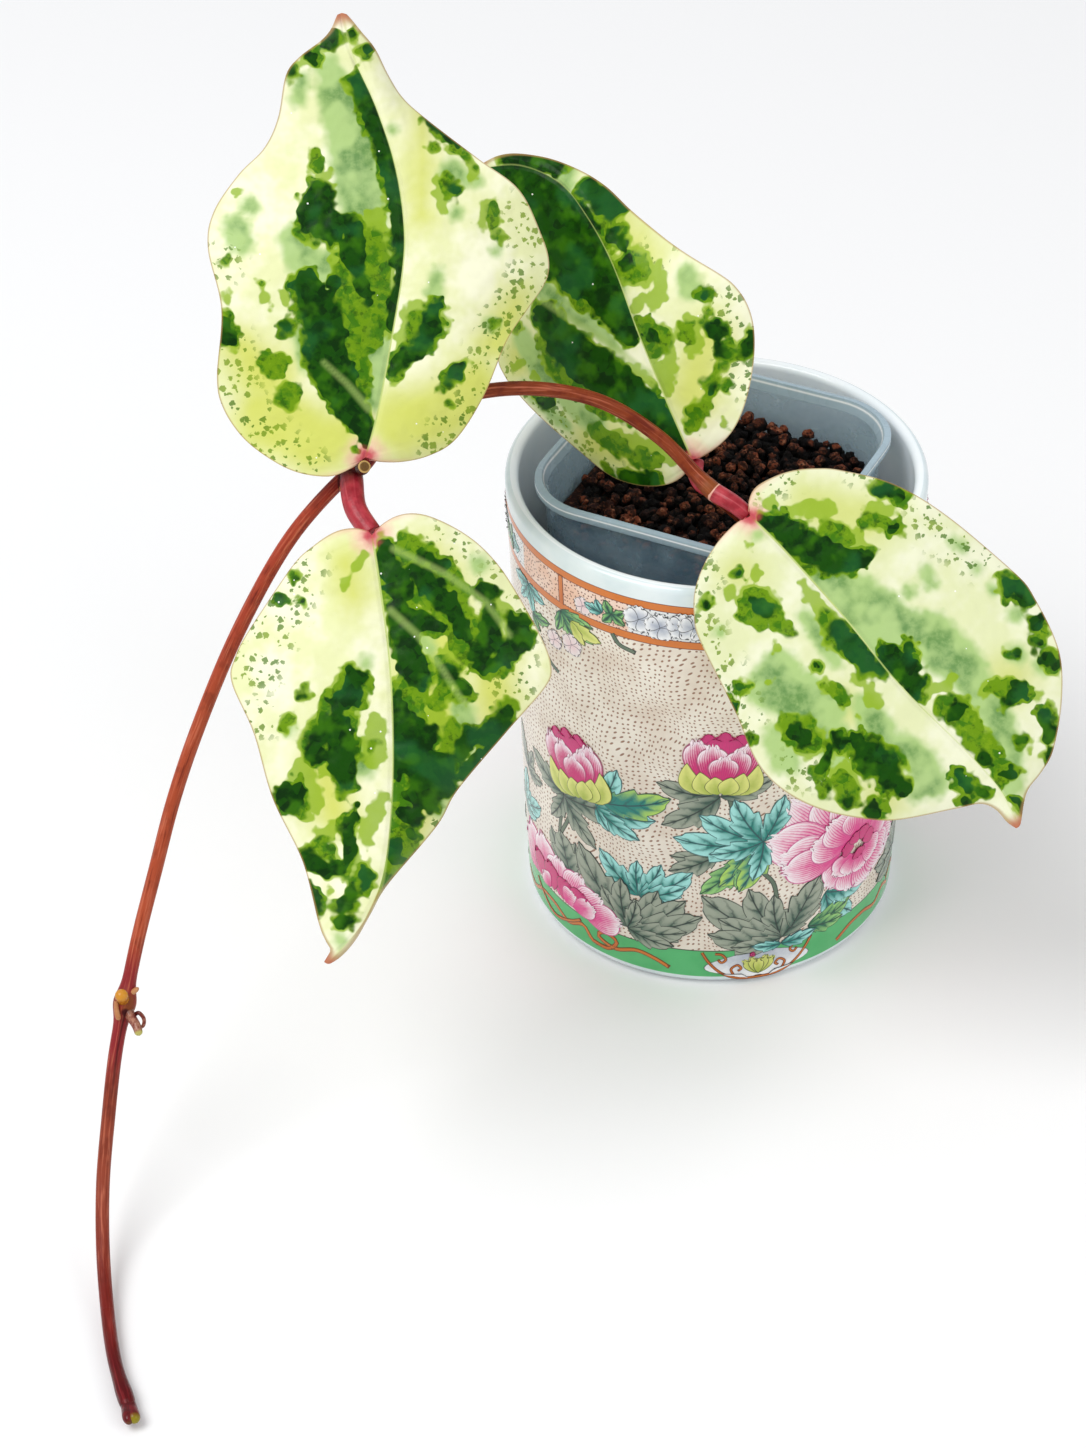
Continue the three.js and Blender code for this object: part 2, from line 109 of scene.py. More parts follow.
def soft_lamp(name, place, size, power):
    bpy.ops.object.light_add(type="AREA", location=place)
    lamp = bpy.context.object
    lamp.name = name
    lamp.data.shape = "DISK"
    lamp.data.size = size
    lamp.data.energy = power
    lamp.rotation_euler = (LAMP_AIM - Vector(place)).to_track_quat("-Z", "Y").to_euler()
    print(name, "gives", power, "watts")


soft_lamp("window_lamp", (-1.0, -0.55, 1.9), 1.3, 23)
soft_lamp("fill_lamp", (1.4, -0.9, 1.2), 1.2, 5)

world = bpy.data.worlds.new("pale_room")
world.use_nodes = True
background = world.node_tree.nodes["Background"]
background.inputs["Color"].default_value = (0.97, 0.98, 1, 1)
background.inputs["Strength"].default_value = ROOM_LIGHT
bpy.context.scene.world = world

# %% [markdown]
# The table is a plane, so wide that its edge never shows. It lies a hair below the foot of the
# pot, because two faces in one place would flicker. The model leaves it out.

# %% Table
TABLE_SIZE = 6
TABLE_DROP = 0.0004

bpy.ops.mesh.primitive_plane_add(size=TABLE_SIZE, location=(0, 0, -TABLE_DROP))
floor = bpy.context.object
floor.name = "floor"
print("table of", TABLE_SIZE, "metres")

# %% [markdown]
# A material is a net of nodes, mostly put together by hand in the shader editor. In a script, a
# short class gives the nodes plain names, so that a material reads as what it does: draw a
# noise, pick a range of it, lay one colour over another. A value may be a number, a colour or
# the output of another node.


# %% A short way to write materials
class Finish:
    def __init__(self, name, **surface):
        self.material = bpy.data.materials.new(name)
        self.material.use_nodes = True
        self.tree = self.material.node_tree
        self.surface = self.tree.nodes["Principled BSDF"]
        for socket, value in surface.items():
            self.feed(self.surface.inputs[socket.replace("_", " ")], value)

    def feed(self, socket, value):
        if isinstance(value, bpy.types.NodeSocket):
            self.tree.links.new(value, socket)
        elif socket.type == "RGBA":
            socket.default_value = (*value, 1)
        else:
            socket.default_value = value

    def node(self, kind, inputs, **choices):
        made = self.tree.nodes.new(kind)
        for choice, value in choices.items():
            setattr(made, choice, value)
        for socket, value in inputs.items():
            if value is not None:
                self.feed(made.inputs[socket], value)
        return made

    def value(self, name):
        return self.node("ShaderNodeAttribute", {}, attribute_name=name).outputs["Fac"]

    def vector(self, name):
        return self.node("ShaderNodeAttribute", {}, attribute_name=name).outputs["Vector"]

    def place(self):
        return self.node("ShaderNodeTexCoord", {}).outputs["Object"]

    def math(self, operation, first, second=0.0):
        return self.node("ShaderNodeMath", {0: first, 1: second}, operation=operation).outputs[0]

    def times(self, first, second):
        return self.math("MULTIPLY", first, second)

    def plus(self, first, second):
        return self.math("ADD", first, second)

    def minus(self, first, second):
        return self.math("SUBTRACT", first, second)

    def larger(self, first, second):
        return self.math("MAXIMUM", first, second)

    def unsigned(self, value):
        return self.math("ABSOLUTE", value)

    def range(self, value, low, high, to_low=0.0, to_high=1.0):
        # A soft step: to_low below low, to_high above high, and a smooth slope between.
        inputs = {"Value": value, "From Min": low, "From Max": high, "To Min": to_low, "To Max": to_high}
        return self.node("ShaderNodeMapRange", inputs, interpolation_type="SMOOTHSTEP").outputs["Result"]

    def mix(self, share, under, over):
        inputs = {0: share, 6: under, 7: over}
        return self.node("ShaderNodeMix", inputs, data_type="RGBA").outputs[2]

    def lay(self, under, over, value, *limits):
        return self.mix(self.range(value, *limits), under, over)

    def noise(self, vector, scale, detail=2.0, roughness=0.5, warp=0.0):
        inputs = {"Vector": vector, "Scale": scale, "Detail": detail}
        inputs.update({"Roughness": roughness, "Distortion": warp})
        return self.node("ShaderNodeTexNoise", inputs).outputs["Fac"]

    def cells(self, vector, scale, randomness=1.0, output="Distance", **choices):
        inputs = {"Vector": vector, "Scale": scale, "Randomness": randomness}
        return self.node("ShaderNodeTexVoronoi", inputs, **choices).outputs[output]

    def bump(self, height, depth, strength=1.0, under=None):
        inputs = {"Height": height, "Distance": depth, "Strength": strength, "Normal": under}
        return self.node("ShaderNodeBump", inputs).outputs["Normal"]

    def set(self, **surface):
        for socket, value in surface.items():
            self.feed(self.surface.inputs[socket.replace("_", " ")], value)
        return self.material


def dress(piece, *materials):
    piece.data.materials.clear()
    for material in materials:
        piece.data.materials.append(material)


def tint(red, green, blue):
    # A colour as a screen shows it, from 0 to 255, as the light that a material gives back.
    parts = (red, green, blue)
    return tuple(((part / 255 + 0.055) / 1.055) ** 2.4 if part > 10 else part / 3295 for part in parts)


floor_finish = Finish("pale_floor", Base_Color=(0.95, 0.95, 0.95), Roughness=0.9)
dress(floor, floor_finish.material)
print("materials start with", floor_finish.material.name)

# %% [markdown]
# Both pots are one outline that changes its size from level to level. A round pot could be spun
# from its profile, but a square one couldn't. So each starts as a flat face of its outline and
# is pulled up through a list of levels, over the lip and down inside, which leaves one closed
# wall.


# %% A wall raised through levels
def turn_faces_out():
    # Every face of the shell in edit mode turns outwards, and edit mode ends.
    bpy.ops.mesh.select_all(action="SELECT")
    bpy.ops.mesh.normals_make_consistent(inside=False)
    bpy.ops.object.mode_set(mode="OBJECT")


def raise_through(levels):
    wide, height = levels[0]
    for next_wide, next_height in levels[1:]:
        step = {"value": (0, 0, (next_height - height) * MM)}
        bpy.ops.mesh.extrude_region_move(TRANSFORM_OT_translate=step)
        scale = next_wide / wide
        bpy.ops.transform.resize(value=(scale, scale, 1), center_override=(0, 0, next_height * MM))
        wide, height = next_wide, next_height
    turn_faces_out()


# %% [markdown]
# The porcelain pot widens a little upwards. It is rounded at its foot and over its lip, and its
# inner wall runs down to a rounded floor. The round stretches are parts of circles, worked out
# by sine and cosine.

# %% Porcelain pot
POT_HEIGHT = 148
RIM_RADIUS = 60
FOOT_RADIUS = 56
WALL = 4
FOOT_ROUND = 3
POT_FLOOR = 6
POT_SEGMENTS = 180
FOOT_STEPS, WALL_STEPS, LIP_STEPS, FLOOR_STEPS = 7, 12, 11, 5

lip = WALL / 2
pot_levels = []
for angle in np.linspace(0, math.pi / 2, FOOT_STEPS):
    out = FOOT_RADIUS - FOOT_ROUND * (1 - math.sin(angle))
    pot_levels.append((out, FOOT_ROUND * (1 - math.cos(angle))))
for share in np.linspace(0.05, 0.95, WALL_STEPS):
    straight = FOOT_RADIUS + (RIM_RADIUS - FOOT_RADIUS) * share
    pot_levels.append((straight, FOOT_ROUND + (POT_HEIGHT - lip - FOOT_ROUND) * share))
for angle in np.linspace(0, math.pi, LIP_STEPS):
    over_lip = RIM_RADIUS - lip * (1 - math.cos(angle))
    pot_levels.append((over_lip, POT_HEIGHT - lip * (1 - math.sin(angle))))
for angle in np.linspace(0, math.pi / 2, FLOOR_STEPS):
    inside = FOOT_RADIUS - WALL - FOOT_ROUND * (1 - math.cos(angle))
    pot_levels.append((inside, POT_FLOOR + FOOT_ROUND * (1 - math.sin(angle))))

bpy.ops.mesh.primitive_circle_add(
    vertices=POT_SEGMENTS, radius=pot_levels[0][0] * MM, fill_type="NGON", location=(0, 0, 0))
cachepot = bpy.context.object
bpy.ops.object.mode_set(mode="EDIT")
bpy.ops.mesh.select_all(action="SELECT")
raise_through(pot_levels)
keep(cachepot, "painted_cachepot", "porcelain", "cachepot")

# %% [markdown]
# The inner pot's outline is a square with corners rounded by nearly half its side. A cube with
# bevelled edges would have it too, but its corners would bunch up where the wall narrows. So a
# circle is stretched to that outline, point by point.

# %% Outline of the inner pot
SEAT_GAP = 0.3
INNER_TOP = 151
INNER_TOP_SIDE = 82
INNER_BOTTOM_SIDE = 70
INNER_WALL = 1.2
INNER_FLOOR = 1.6
FLANGE_SIDE = 86
FLANGE_HEIGHT = 3
EDGE_ROUND = 0.5
BASE_ROUND = 2
CORNER_SHARE = 0.46
INNER_CENTRE = (-0.5, 2.4)
INNER_TURN = math.radians(-27.5)
INNER_BASE = POT_FLOOR + SEAT_GAP


def inner_side(height):
    share = (height - INNER_BASE) / (INNER_TOP - INNER_BASE)
    return INNER_BOTTOM_SIDE + (INNER_TOP_SIDE - INNER_BOTTOM_SIDE) * share


def rounded_square(direction):
    # How far a rounded square of half side 1 reaches in a direction from its middle.
    corner = CORNER_SHARE
    x, y = abs(math.cos(direction)), abs(math.sin(direction))
    flat = 1 / max(x, y)
    if flat * min(x, y) <= 1 - corner:
        return flat
    middle = 1 - corner
    towards = middle * (x + y)
    return towards + math.sqrt(towards**2 - 2 * middle**2 + corner**2)


def start_square(name, side, height, segments):
    bpy.ops.mesh.primitive_circle_add(vertices=segments, radius=side / 2 * MM, fill_type="NGON")
    square = bpy.context.object
    square.name = name
    for vertex in square.data.vertices:
        reach = rounded_square(math.atan2(vertex.co.y, vertex.co.x))
        vertex.co = Vector((vertex.co.x * reach, vertex.co.y * reach, height * MM))
    bpy.ops.object.mode_set(mode="EDIT")
    bpy.ops.mesh.select_all(action="SELECT")


def turn_into_place(piece):
    turned = Matrix.Translation((INNER_CENTRE[0] * MM, INNER_CENTRE[1] * MM, 0))
    piece.data.transform(turned @ Matrix.Rotation(INNER_TURN, 4, "Z"))
    piece.data.update()


print("a rounded square reaches", round(rounded_square(math.pi / 4), 3), "half sides at its corners")

# %% [markdown]
# The cup widens upwards, and its rim steps out into a flange with small rounded edges. Each
# level below is a side of the square and a height: up the outside, over the rim and down the
# inside.

# %% Clear inner pot
INNER_SEGMENTS = 128

under_flange = INNER_TOP - FLANGE_HEIGHT
inside_floor = INNER_BASE + INNER_FLOOR
lip_side = FLANGE_SIDE - 2 * INNER_WALL
inner_levels = [
    (INNER_BOTTOM_SIDE - 1.5 * BASE_ROUND, INNER_BASE),
    (INNER_BOTTOM_SIDE - 0.5 * BASE_ROUND, INNER_BASE + 0.3 * BASE_ROUND),
    (INNER_BOTTOM_SIDE, INNER_BASE + BASE_ROUND),
    (inner_side(under_flange) - 0.4, under_flange - 0.8),
    (inner_side(under_flange) + 1.2, under_flange),
    (FLANGE_SIDE - 0.4, under_flange + 0.1),
    (FLANGE_SIDE, under_flange + EDGE_ROUND),
    (FLANGE_SIDE, INNER_TOP - EDGE_ROUND),
    (FLANGE_SIDE - 0.3, INNER_TOP - 0.15),
    (FLANGE_SIDE - 2 * EDGE_ROUND, INNER_TOP),
    (lip_side - 2 * EDGE_ROUND, INNER_TOP),
    (lip_side - 2.4 * EDGE_ROUND, INNER_TOP - 0.3),
    (INNER_TOP_SIDE - 2 * INNER_WALL, under_flange),
    (INNER_BOTTOM_SIDE - 2 * INNER_WALL, inside_floor + BASE_ROUND),
    (INNER_BOTTOM_SIDE - 2 * INNER_WALL - 1.5 * BASE_ROUND, inside_floor),
]
start_square("inner_cup", *inner_levels[0], INNER_SEGMENTS)
inner_pot = bpy.context.object
raise_through(inner_levels)
print("the cup has", len(inner_levels), "levels")

# %% [markdown]
# Water leaves such a pot through its floor. Each hole is cut with a cylinder by a Boolean
# modifier, four in a ring and one in the middle. Then the cup is turned and moved in its mesh,
# so that its object stays at the origin.

# %% Drain holes
DRAIN_RADIUS = 3.5
DRAIN_SPREAD = 17
RING_HOLES = 4
HOLE_SEGMENTS = 24

for hole in range(RING_HOLES + 1):
    spread = DRAIN_SPREAD * MM if hole < RING_HOLES else 0
    turn = math.pi / 2 * hole
    at = (spread * math.cos(turn), spread * math.sin(turn), INNER_BASE * MM)
    bpy.ops.mesh.primitive_cylinder_add(
        vertices=HOLE_SEGMENTS, radius=DRAIN_RADIUS * MM, depth=4 * INNER_FLOOR * MM, location=at)
    drill = bpy.context.object
    cut = inner_pot.modifiers.new("drain", "BOOLEAN")
    cut.object = drill
    cut.operation = "DIFFERENCE"
    select_only(inner_pot)
    bpy.ops.object.modifier_apply(modifier=cut.name)
    bpy.data.objects.remove(drill)
turn_into_place(inner_pot)
keep(inner_pot, "clear_inner_pot", "clear_plastic", "inner_pot")

# %% [markdown]
# Colours need to know things about a piece: how light a granule is, or how far along the stem a
# point lies. An image could hold that, but a value on each point of the mesh needs no
# unwrapping and stays sharp from close by.


# %% Values on the points of a mesh
def set_attribute(piece, name, values):
    values = np.asarray(values, np.float32)
    kind = "FLOAT_VECTOR" if values.ndim == 2 else "FLOAT"
    made = piece.data.attributes.new(name, kind, "POINT")
    made.data.foreach_set("vector" if values.ndim == 2 else "value", values.ravel())


def values_of(piece, name):
    return np.array([value.value for value in piece.data.attributes[name].data])


def vertex_places(piece):
    places = np.empty(len(piece.data.vertices) * 3, np.float32)
    piece.data.vertices.foreach_get("co", places)
    return places.reshape(-1, 3).astype(float)


def move_vertices(piece, places):
    piece.data.vertices.foreach_set("co", np.asarray(places, np.float32).ravel())
    piece.data.update()


print("the pot reaches", round(vertex_places(cachepot)[:, 2].max() / MM, 1), "mm up")

# %% [markdown]
# Only the upper side of the granules shows, so a plain filling carries them: the rounded square
# once more, raised through the room inside the cup and a hair smaller.

# %% Filling under the granules
SOIL_LEVEL = 137.5
COARSE_STONE = 3.3
FILLING_SEGMENTS = 96

clear = 2 * (INNER_WALL + SEAT_GAP)
bed_base = INNER_BASE + INNER_FLOOR + SEAT_GAP
bed_top = SOIL_LEVEL - 0.75 * COARSE_STONE
start_square("filling", INNER_BOTTOM_SIDE - clear - 2 * BASE_ROUND, bed_base, FILLING_SEGMENTS)
filling = bpy.context.object
raise_through([
    (INNER_BOTTOM_SIDE - clear - 2 * BASE_ROUND, bed_base),
    (INNER_BOTTOM_SIDE - clear, bed_base + BASE_ROUND),
    (inner_side(bed_top - 1) - clear, bed_top - 1),
    (inner_side(bed_top) - clear - 2, bed_top),
])
reach = (inner_side(bed_top) - clear) / 2 - SEAT_GAP
print("the filling reaches", round(bed_top, 1), "mm up")

# %% [markdown]
# The granules are baked lumps of about 3 to 5 mm, in a mound that is highest behind the middle.
# A physics run could pour them, but it would end differently now and then. So each lump is a
# copy of one coarse ball, squashed, turned and dented by a seeded draw, and two layers of them
# leave no bare place. Every lump keeps its own tone, and each of its points how deep it lies,
# which sets a painted shade between the lumps.

# %% Granules
SOIL_RISE = 3.6
STONE_SPACING = 3.0
STONE_SIZES = (1.3, 2.35)
LAYER_DROP = 1.9
SCATTER = 0.45
DENT = 0.42

bpy.ops.mesh.primitive_uv_sphere_add(segments=8, ring_count=5, radius=1)
stone_shape = bpy.context.object
draw = random.Random(11)
stones = []
rows = int(2 * reach / STONE_SPACING)
for layer in range(2):
    for row in range(rows):
        for column in range(rows):
            size = draw.uniform(*STONE_SIZES)
            x = (column + 0.5 + draw.uniform(-SCATTER, SCATTER)) / rows * 2 * reach - reach
            y = (row + 0.5 + draw.uniform(-SCATTER, SCATTER)) / rows * 2 * reach - reach
            turn = [draw.uniform(0, 2 * math.pi) for _ in range(3)]
            squash = [draw.uniform(0.75, 1.1) for _ in range(3)]
            lift = draw.uniform(-1.6, 0.9) - LAYER_DROP * layer
            limit = rounded_square(math.atan2(y, x)) * reach - size
            if math.hypot(x, y) > limit:
                continue
            mound = SOIL_RISE * math.cos(x / reach * 1.4) * math.cos(y / reach - 0.6)
            stone = stone_shape.copy()
            stone.data = stone_shape.data.copy()
            bpy.context.collection.objects.link(stone)
            shade = draw.random()
            for vertex in stone.data.vertices:
                dent = 1 + DENT * noise.noise(vertex.co * 2.1 + Vector((x, y, layer)) * 3)
                vertex.co = vertex.co * dent
            spot = Matrix.Translation(Vector((x, y, SOIL_LEVEL + mound + lift - size)) * MM)
            spin = Matrix.Rotation(turn[0], 4, "X") @ Matrix.Rotation(turn[1], 4, "Z")
            stone.data.transform(spot @ spin @ Matrix.Diagonal((*(Vector(squash) * size * MM), 1)))
            set_attribute(stone, "shade", np.full(len(stone.data.vertices), shade))
            # How deep each point lies under the mound top, for the painted shade between the lumps.
            below = SOIL_LEVEL + mound + 0.2 - vertex_places(stone)[:, 2] / MM
            set_attribute(stone, "sunk", below)
            stones.append(stone)
bpy.data.objects.remove(stone_shape)
select_only(filling)
for stone in stones:
    stone.select_set(True)
bpy.ops.object.join()
turn_into_place(filling)
granules = keep(filling, "granules", "granules", "substrate", crease=34)
print("stones:", len(stones))

# %% [markdown]
# Stems, leaf margins and midribs follow a few given points. Blender's own curves have
# handles, which are hard to set in a script. A Catmull-Rom curve passes through all points by
# itself. Stems space it by the square root of each chord, which keeps bends between uneven
# points free of loops, and leaf outlines space it evenly.

# %% Curves through given points
CURVE_STEPS = 24


def fine_curve(points, chord_power):
    points = np.array(points, float)
    padded = np.vstack([2 * points[0] - points[1], points, 2 * points[-1] - points[-2]])
    drawn = []
    for before, start, end, after in zip(padded, padded[1:], padded[2:], padded[3:]):
        d0 = np.linalg.norm(start - before) ** chord_power
        d1 = np.linalg.norm(end - start) ** chord_power
        d2 = np.linalg.norm(after - end) ** chord_power
        out = ((start - before) / d0 - (end - before) / (d0 + d1) + (end - start) / d1) * d1
        into = ((end - start) / d1 - (after - start) / (d1 + d2) + (after - end) / d2) * d1
        for t in np.linspace(0, 1, CURVE_STEPS, endpoint=False):
            square = (3 * (end - start) - 2 * out - into) * t**2
            cube = (2 * (start - end) + out + into) * t**3
            drawn.append(start + out * t + square + cube)
    return np.array([*drawn, points[-1]])


def run_of(drawn):
    return np.concatenate([[0], np.cumsum(np.linalg.norm(np.diff(drawn, axis=0), axis=1))])


def at_shares(drawn, shares):
    run = run_of(drawn)
    wanted = np.asarray(shares) * run[-1]
    return np.stack([np.interp(wanted, run, drawn[:, axis]) for axis in range(drawn.shape[1])], -1)


def smoothstep(low, high, value):
    t = np.clip((np.asarray(value, float) - low) / (high - low), 0, 1)
    return t * t * (3 - 2 * t)


print("each stretch between two points is drawn in", CURVE_STEPS, "steps")

# %% [markdown]
# Stem, stalks and buds are round shoots. A circle extruded along the way would twist in the
# bends, so each is drawn as a curve with a round bevel, as wide at each point as the shoot
# there, and turned into a mesh with closed ends. Its points keep how far along they are and
# their place on the unrolled skin.

# %% Round shoots
STEM_RADIUS = 1.95


def stem_line(route, spacing):
    drawn = fine_curve(route, 0.5)
    count = max(int(run_of(drawn)[-1] / spacing), 8)
    return at_shares(drawn, np.linspace(0, 1, count + 1))


def round_end(run, length, end_length):
    into = np.clip(end_length - (length - run), 0, end_length) / end_length
    return np.sqrt(1 - 0.93 * into**2)


def stem_piece(name, centres, radii, sides=24):
    drawing = bpy.data.curves.new(name, "CURVE")
    drawing.dimensions = "3D"
    drawing.bevel_depth = 1
    drawing.bevel_resolution = sides // 2 - 2
    line = drawing.splines.new("POLY")
    line.points.add(len(centres) - 1)
    for point, centre, radius in zip(line.points, centres, radii):
        point.co = (*(centre * MM), 1)
        point.radius = radius * MM
    piece = bpy.data.objects.new(name, drawing)
    bpy.context.collection.objects.link(piece)
    select_only(piece)
    bpy.ops.object.convert(target="MESH")
    piece = bpy.context.object
    run = np.repeat(run_of(centres), sides)
    turn = np.tile(np.linspace(0, 2 * math.pi, sides, endpoint=False), len(centres))
    set_attribute(piece, "run", run)
    skin = [STEM_RADIUS * np.cos(turn), STEM_RADIUS * np.sin(turn), run]
    set_attribute(piece, "skin", np.column_stack(skin))
    bpy.ops.object.mode_set(mode="EDIT")
    bpy.ops.mesh.select_all(action="SELECT")
    bpy.ops.mesh.fill_holes(sides=sides)
    turn_faces_out()
    return piece


def gap_to(piece, centres, radii):
    gaps = [np.min(np.linalg.norm(centres - place / MM, axis=1) - radii) for place in vertex_places(piece)]
    return np.array(gaps)


print("a shoot of radius", STEM_RADIUS, "mm has a skin", round(2 * math.pi * STEM_RADIUS, 1), "mm round")

# %% [markdown]
# The stem comes out of the granules, arches over the rim and trails down to the table. It is
# swollen at its three nodes and near the tip, gets a little thinner on the way, and is drawn in
# to a round end.

# %% The trailing stem
SOIL_FOOT = (14, -28, 118)
NODE_A = (-3.3, -42.4, 168.7)
NODE_B = (-97, -53.6, 188.4)
NODE_C = (-167.4, -113.7, 52.4)
GROWING_TIP = (-162.5, -214.5, 2.7)
VINE_ROUTE = [
    SOIL_FOOT, (14, -28, 134), (10, -32, 147), (3, -38, 159), NODE_A,
    (-7.7, -37.9, 171.2), (-17.4, -32.3, 179.8), (-33.5, -29.2, 190), (-54.8, -31.8, 196.4),
    (-76, -39.7, 197.6), (-88, -46.8, 194), NODE_B,
    (-105.2, -56.3, 181.8), (-117, -59.7, 168.4), (-131.8, -66.5, 144), (-144.7, -75.3, 117),
    (-152.1, -83, 99), (-157.9, -92.4, 82), (-163.4, -103.1, 66), NODE_C,
    (-170.2, -123, 42), (-172.4, -135.5, 29), (-173.8, -147.5, 18), (-173.6, -161, 9.2),
    (-171.6, -178, 4), (-167.8, -198, 2.8), GROWING_TIP,
]


vine_centres = stem_line(VINE_ROUTE, 0.6)
vine_run = run_of(vine_centres)
vine_length = vine_run[-1]


def run_at(place):
    return vine_run[np.argmin(((vine_centres - np.array(place)) ** 2).sum(1))]


node_runs = [run_at(place) for place in (NODE_A, NODE_B, NODE_C)]
swellings = [
    (node_runs[0], 0.6, 5),
    (node_runs[1], 0.9, 4.5),
    (node_runs[2], 1.3, 4),
    (vine_length - 5, 0.4, 5),
]
vine_radii = STEM_RADIUS - 0.1 * smoothstep(0.6, 1, vine_run / vine_length)
for at, rise, spread in swellings:
    vine_radii = vine_radii + rise * np.exp(-(((vine_run - at) / spread) ** 2))
vine_radii = vine_radii * round_end(vine_run, vine_length, 2.5)
vine = stem_piece("vine_line", vine_centres, vine_radii)
print("the stem is", round(vine_length), "mm long; nodes at", [round(run) for run in node_runs])

# %% [markdown]
# At the second node the stub of an old flower stalk stands up, ringed by scars. It is one with
# the stem, so it is drawn in the same way, with a ripple in its radius, and joined. Its points
# count their run from 1000 and those of the dry scales from 2000, so that the colours can tell
# them apart.

# %% Old flower stub
SPUR_ROUTE = [NODE_B, (-96.6, -58.8, 190), (-95.6, -62.4, 193.2)]
SPUR_RADIUS = 1.6
SPUR_RUN = 1000
BARE_RUN = 2000


def restart_run(piece, start):
    run = values_of(piece, "run") + start
    piece.data.attributes["run"].data.foreach_set("value", run.astype(np.float32))


spur_centres = stem_line(SPUR_ROUTE, 0.14)
spur_run = run_of(spur_centres)
spur_length = spur_run[-1]
spur_ridges = 1 + 0.06 * np.sin(spur_run * 4.5)
spur_radii = SPUR_RADIUS * spur_ridges * round_end(spur_run, spur_length, 0.5)
spur = stem_piece("spur", spur_centres, spur_radii)
restart_run(spur, SPUR_RUN)
spur_top = SPUR_RUN + spur_length
SPUR_RIM = (spur_top - 0.75, spur_top - 0.6)
SPUR_FACE = (spur_top - 0.22, spur_top - 0.1)
print("the stub is", round(spur_length, 1), "mm long")

# %% [markdown]
# Small dry things sit on the nodes: a hanging scale, a broken nub and a round leaf scar. Colour
# alone wouldn't do, because they stand out from the stem. Each is a very short shoot, given by
# its way and its radius at both ends.

# %% Dry scales and scars of the stem
SCALES = {
    "hanging_scale": (
        [(-169.3, -115.7, 55.0), (-169.2, -117.5, 53.1), (-168.7, -118.9, 50.9)], 0.55, 0.85),
    "broken_nub": ([(-165.0, -112.9, 55.6), (-163.2, -112.7, 57.0)], 0.85, 0.65),
    "leaf_scar": ([(-101.9, -58.1, 184.0), (-101.6, -60.2, 183.6)], 0.95, 1.0),
}

scales = []
for name, (route, at_stem, at_end) in SCALES.items():
    centres = stem_line(route, 0.25)
    run = run_of(centres)
    radii = at_stem + (at_end - at_stem) * run / run[-1]
    scale = stem_piece(name, centres, radii * round_end(run, run[-1], 1.1), 12)
    restart_run(scale, BARE_RUN)
    scales.append(scale)
select_only(vine)
for part in [spur, *scales]:
    part.select_set(True)
bpy.ops.object.join()
vine = keep(vine, "trailing_vine", "stem", "vine")

# %% [markdown]
# No two of the four leaves are alike, so each has its own outline, in its own axes: across to
# the right, along from base to tip, and out of its upper face. It is a left margin, a right
# margin and a midrib, each through points in millimetres from base to tip. The blade bends back
# towards the tip, and each half rises beside the midrib, falls to its margin and waves along
# it.

